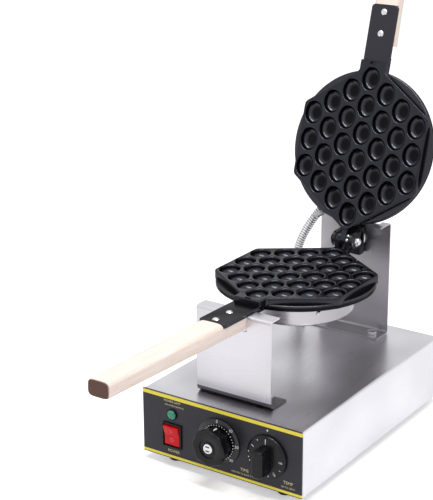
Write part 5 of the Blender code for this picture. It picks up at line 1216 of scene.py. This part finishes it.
class WAFFLE_OT_controls(bpy.types.Operator):
    """Makes the lamp, rocker, timer and thermostat with their printed marks"""

    bl_idname = "waffle.controls"
    bl_label = "Controls"

    def execute(self, context):
        self.lamp()
        self.rocker()
        self.timer()
        self.thermostat()
        for name, words, height, across, up in LABELS:
            lettering(name, words, height * MM, on_panel((across * MM, up * MM)), "yellow ink", "root")
        return {"FINISHED"}

    def lamp(self):
        lamp = on_panel(LAMP_PLACE)
        bezel = mm(
            (0, 1.3), (6, 1.3), (6, 1.9), (6.3, 2.2), (6.6, 2.1), (6.9, 1.6), (6.9, 0.3), (4.6, 0.3),
            (4.6, -24), (0, -24),
        )
        add_piece("lamp_bezel", turned(bezel), lamp, "black plastic", "root", ["pilot_lamp_body"])
        dome = arc(1, QUARTER, 0, 12) * mm(5.8, 2) + mm(0, 1.6)
        lens = turned([*dome, (0, 1.6 * MM)])
        add_piece("lamp_lens", lens, lamp, "green lens", "root", ["pilot_lamp_lens"])

    def rocker(self):
        rocker = on_panel(ROCKER_PLACE)
        outer = softened(rectangle(mm(-13.5, -15.5), mm(13.5, 15.5)), 1.2 * MM, 4)
        levels = mm((0, 0.3), (0, 1.9), (0.6, 2.5), (1.5, 2.5), (1.75, 2.3), (1.95, -9))
        frame_ring, faces = slab(outer, levels, caps=False)
        floor = [list(range(len(frame_ring) - len(outer), len(frame_ring)))]
        case = rounded_box(mm(-12.9, -14.7, -22), mm(12.9, 14.7, -9.2), *mm(1, 0.5))
        collar = slab(inset(outer, 0.7 * MM), mm((0, 0.3), (0, -9.2)), caps=False)
        whole = joined((frame_ring, faces + floor), collar, case)
        add_piece("rocker_bezel", whole, rocker, "black plastic", "root", ["rocker_frame"])

        pressed = rocker @ turn("X", ROCKER_TILT)
        slope = math.tan(math.radians(ROCKER_TILT))
        half_height, back, front = mm(12.5, -3, 3.4)
        middle = front - half_height * slope
        corners = rectangle((-half_height, back), (half_height, front))
        corners.insert(3, (0, middle))
        cap = side_plate(softened(corners, mm(0.8, 0.8, 0.9, 8, 0.9), 6), *mm(-10.75, 10.75, 0.8))
        add_piece("rocker_cap", cap, pressed, "red plastic", "rocker", ["rocker_button"])
        for name, words, up in (("rocker_mark_on", "I", 6.3 * MM), ("rocker_mark_off", "O", -5.4 * MM)):
            level = middle + abs(up) * slope + INK
            place = pressed @ move(0, up, level) @ turn("X", math.copysign(ROCKER_TILT, up))
            lettering(name, words, 5 * MM, place, "pink ink", "rocker")

    def timer(self):
        timer = on_panel(TIMER_PLACE)
        ring = mm(
            (3.35, 3.3), (21.9, 3.3), (22.6, 3.5), (23.2, 3.4), (28.2, 2.3), (28.8, 1.9), (29, 1.3),
            (29, 0.3), (3.35, 0.3), (3.35, 3.3),
        )
        add_piece("timer_ring", turned(ring, 96), timer, "gloss plastic", "root", ["timer_dial"])
        add_piece("timer_dots", dots(*mm(21.3, 3.3), range(-34, 320, 10)), timer, "white ink", "root")
        slope, first_number, number_step = 12.4, -3, 46
        on_slope = move(0, *mm(25.8, 2.87)) @ turn("X", -slope)
        for i in range(7):
            angle = number_step * i + first_number
            place = timer @ turn("Z", -angle) @ on_slope @ turn("Z", angle)
            lettering(f"timer_number_{i}", str(10 * i), 3.6 * MM, place, "white ink", "root")

        grip = self.lobed_knob()
        add_piece("timer_grip", grip, timer, "black plastic", "timer_control", ["timer_knob"])
        mark = placed(rounded_box(mm(-0.9, 20, 9.5), mm(0.9, 21.5, 16.5), *mm(0.3, 0.1)), turn("Z", -8))
        add_piece("timer_mark", mark, timer, "white ink", "timer_control")
        top = 24.2 * MM
        cap = mm((0, 0), (5.6, 0), (6.2, -0.6), (6.3, -1.6), (0, -1.6)) + (0, top)
        add_piece("timer_centre", turned(cap, 48), timer, "zinc", "timer_control", ["timer_cap"])
        slots = []
        for up in mm(-2.6, 2.6):
            low, high = (-2.8 * MM, up - 0.8 * MM, top - 0.2 * MM), (2.8 * MM, up + 0.8 * MM, top + INK)
            slots.append(rounded_box(low, high, *mm(0.6, 0.02)))
        add_piece("timer_centre_slots", joined(*slots), timer, "black plastic", "timer_control")

    def lobed_knob(self):
        """A turned profile whose radius swells by a cosine of eight lobes round its side.

        r = profile (1 + swell w cos 8a), the weight w falling to 0 towards the middle of its top.
        """
        swell, lobes = 0.035, 8
        low, high, edge, reach, flat, fading = mm(4, 24, 2.2, 22, 12.4, 4)
        inside = mm((0, 10), (3.4, 10), (3.4, 0), (19, 0), (19.7, 0.8)) + (0, low)
        side = arc(edge, 0, QUARTER, 6, (reach - edge, high - edge))
        top = mm(
            (12.4, 0), (11.6, -0.4), (11.2, -1.5), (8.2, -1.6), (7.6, -1.3), (7.4, -0.2), (7.1, 0),
            (6.7, -0.1), (6.65, -1.6), (0, -1.6),
        ) + (0, high)
        radius, height = np.vstack([inside, side, top]).T
        angles = np.linspace(0, math.tau, 160, endpoint=False)[:, None]
        weight = np.clip((radius - flat) / fading, 0, 1)
        swollen = radius * (1 + swell * weight * np.cos(lobes * angles))
        return grid(polar(swollen, angles, height), wrap_across=True)

    def thermostat(self):
        place, body = on_panel(THERMOSTAT_PLACE), "thermostat_control"
        base, top, high, edge = mm(0.7, 5.7, 24, 2)
        face = mm((0, 0), (23.4, 0), (24.1, -0.3)) + (0, top)
        side = mm((25.8, 2.4), (26, 1.9), (26, 0), (3.35, 0), (3.35, 10), (0, 10)) + (0, base)
        levels = [(*mm(7.4, 17, 4.5), top - 1.5 * MM), mm(7.2, 16.8, 4.3, 14)]
        for a in np.radians((0, 25, 50, 75, QUARTER)):
            fall = edge * (1 - math.cos(a))
            levels.append((*(mm(6.9, 16.5, 4) - fall), high - edge + edge * math.sin(a)))
        shape = joined(turned([*face, *side], 96), placed(bar(levels), move(0, -2.2 * MM, 0)))
        add_piece("thermostat_grip", shape, place, "black plastic", body, ["thermostat_knob"])

        lines = ((1.5, 16.5, 23.2), (-56, 18, 21.6), (-68, 7.4, 9.6), (119, 21.8, 23.2))
        marks = [dash(top, angle, *mm(start, end)) for angle, start, end in lines]
        marks.append(dots(22.2 * MM, top, (-27, -83, -101, -112, -135, 168, 195, 214)))
        add_piece("thermostat_marks", joined(*marks), place, "white ink", body)
        numbers = (("low", "100", 93, 20.4), ("middle", "150", 145, 21), ("high", "250", 222, 20.6))
        for name, words, angle, radius in numbers:
            spot = place @ turn("Z", QUARTER - angle) @ move(radius * MM, 0, top + 0.04 * MM)
            lettering(f"thermostat_number_{name}", words, 2.5 * MM, spot, "white ink", body)
        index = turned([(0, INK), (1.1 * MM, INK), (1.1 * MM, 0), (0, 0)], 20)
        add_piece("thermostat_index", index, on_panel(INDEX_PLACE), "white ink", "root")


def area_light(name, start, end, width, target, power):
    """A soft box between two points, turned about that line until it faces the target.

    Its long way is x = (end - start) / |end - start|, and its back z is what remains of
    (middle - target) once the part of it along x is taken away.
    """
    start, end, target = (np.array(point, float) for point in (start, end, target))
    length = np.linalg.norm(end - start)
    middle, along = (start + end) / 2, (end - start) / length
    back = middle - target
    back -= back @ along * along
    back /= np.linalg.norm(back)
    lamp = bpy.data.lights.new(name, "AREA")
    lamp.shape = "RECTANGLE"
    lamp.size, lamp.size_y, lamp.energy = length, width, power
    place = np.eye(4)
    place[:3] = np.stack([along, np.cross(back, along), back, middle], axis=1)
    new_object(name, lamp).matrix_world = Matrix(place.tolist())


LIGHTS = (  # name, start, end, width and target in metres, and the setting that holds its power
    ("key_softbox", (-0.6, -0.25, 3), (0.2, -0.25, 3), 0.8, (0, 0, 0.2), "key_power"),
    ("long_strip", (-0.05, -0.27, 2.9), (1.12, -0.3, 1.7), 0.17, (0, 0.2, 0.45), "strip_power"),
)
VIEW_ANGLES = (34.6, 19.15, -0.38)  # azimuth, elevation and roll in degrees
VIEW_PLACE = mm(868.1, -1262.75, 816.38)
VIEW_LENS, VIEW_SENSOR = 106.37, 36


class WAFFLE_OT_studio(bpy.types.Operator):
    """Makes the floor, the soft lights, the white surround and the camera"""

    bl_idname = "waffle.studio"
    bl_label = "Studio"

    def execute(self, context):
        settings = context.scene.waffle_studio
        context.scene.view_settings.view_transform = "Standard"
        self.floor(settings)
        self.surround()
        for *light, power in LIGHTS:
            area_light(*light, getattr(settings, power))
        self.camera()
        return {"FINISHED"}

    def floor(self, settings):
        """A pale painted floor, a little rough, lifted towards white for the camera and for gloss."""
        reach, gloss_lift, camera_lift = 6.0, 0.14, 0.22
        made, tree, shader = finish("matt_painted_floor", "#f2f2f3", 0.6)
        vary(tree, shader, streaks(tree, bench_place(tree), 200), (0.55, 0.65))
        shader.inputs["Base Color"].default_value = (*settings.floor_colour, 1)
        shader.inputs["Emission Color"].default_value = (1, 1, 1, 1)
        camera = node(tree, "LightPath", output="Is Camera Ray")
        gloss = node(tree, "Math", (self.seen(tree), gloss_lift), operation="MULTIPLY")
        lift = node(tree, "Math", (camera, camera_lift, gloss), operation="MULTIPLY_ADD")
        feed(tree, shader, Emission_Strength=lift)
        corners = rectangle((-reach, -reach), (reach, reach))
        mesh = bpy.data.meshes.new("studio_floor")
        mesh.from_pydata([(x, y, 0) for x, y in corners], [], [[0, 1, 2, 3]])
        mesh.materials.append(made)
        ground = new_object("studio_floor", mesh)

    def seen(self, tree):
        """1 for rays from the camera and for those that gloss or glass sends on, 0 for the rest."""
        seen = node(tree, "LightPath", output="Is Camera Ray")
        for kind in ("Is Glossy Ray", "Is Transmission Ray"):
            ray = node(tree, "LightPath", output=kind)
            seen = node(tree, "Math", (seen, ray), operation="MAXIMUM")
        return seen

    def surround(self):
        """A soft even sky that the camera and the gloss see as white."""
        world = bpy.data.worlds.new("studio_sky")
        bpy.context.scene.world = world
        world.use_nodes = True
        tree = world.node_tree
        tree.nodes.remove(tree.nodes["Background"])
        sky_light, seen_white = 0.62, 1.0
        soft, white = (node(tree, "Background", ((1, 1, 1, 1), light)) for light in (sky_light, seen_white))
        mixed = node(tree, "MixShader", (self.seen(tree), soft, white))
        feed(tree, tree.nodes["World Output"], Surface=mixed)

    def camera(self):
        """The photograph's own view, solved from the two grids of cells and the base."""
        azimuth, elevation, roll = (math.radians(angle) for angle in VIEW_ANGLES)
        level = math.cos(elevation)
        forward = np.array((-math.sin(azimuth) * level, math.cos(azimuth) * level, -math.sin(elevation)))
        right = np.array((math.cos(azimuth), math.sin(azimuth), 0))
        up = np.cross(right, forward)
        across = math.cos(roll) * right + math.sin(roll) * up
        upward = -math.sin(roll) * right + math.cos(roll) * up
        lens = bpy.data.cameras.new("photograph_view")
        lens.lens, lens.sensor_width = VIEW_LENS, VIEW_SENSOR
        lens.clip_start = 0.05
        made = new_object("photograph_view", lens)
        place = np.eye(4)
        place[:3] = np.stack([across, upward, -forward, VIEW_PLACE + (0, BENCH_SHIFT, 0)], axis=1)
        made.matrix_world = Matrix(place.tolist())
        bpy.context.scene.camera = made


# In the order in which main() runs them
STEPS = (
    WAFFLE_OT_finishes,
    WAFFLE_OT_castings,
    WAFFLE_OT_grips,
    WAFFLE_OT_heater_covers,
    WAFFLE_OT_hoses,
    WAFFLE_OT_hinge,
    WAFFLE_OT_bolts_and_feet,
    WAFFLE_OT_controls,
    WAFFLE_OT_studio,
)
SETTINGS = {
    "waffle_casting": WaffleCastingSettings,
    "waffle_hose": WaffleHoseSettings,
    "waffle_studio": WaffleStudioSettings,
}


class WAFFLE_PT_panel(bpy.types.Panel):
    """Lists the settings and the steps in the order in which they are made"""

    bl_label = "Waffle Maker"
    bl_space_type = "VIEW_3D"
    bl_region_type = "UI"
    bl_category = "Waffle Maker"

    def draw(self, context):
        for name in SETTINGS:
            group = getattr(context.scene, name)
            for key in group.__annotations__:
                self.layout.prop(group, key)
        for step in STEPS:
            self.layout.operator(step.bl_idname)


def register():
    for kind in (*SETTINGS.values(), *STEPS, WAFFLE_PT_panel):
        bpy.utils.register_class(kind)
    for name, kind in SETTINGS.items():
        setattr(bpy.types.Scene, name, PointerProperty(type=kind))


def unregister():
    for name in SETTINGS:
        delattr(bpy.types.Scene, name)
    for kind in reversed((*SETTINGS.values(), *STEPS, WAFFLE_PT_panel)):
        bpy.utils.unregister_class(kind)


def main():
    register()
    for step in STEPS:
        group, name = step.bl_idname.split(".")
        getattr(getattr(bpy.ops, group), name)()


if __name__ == "__main__":
    main()
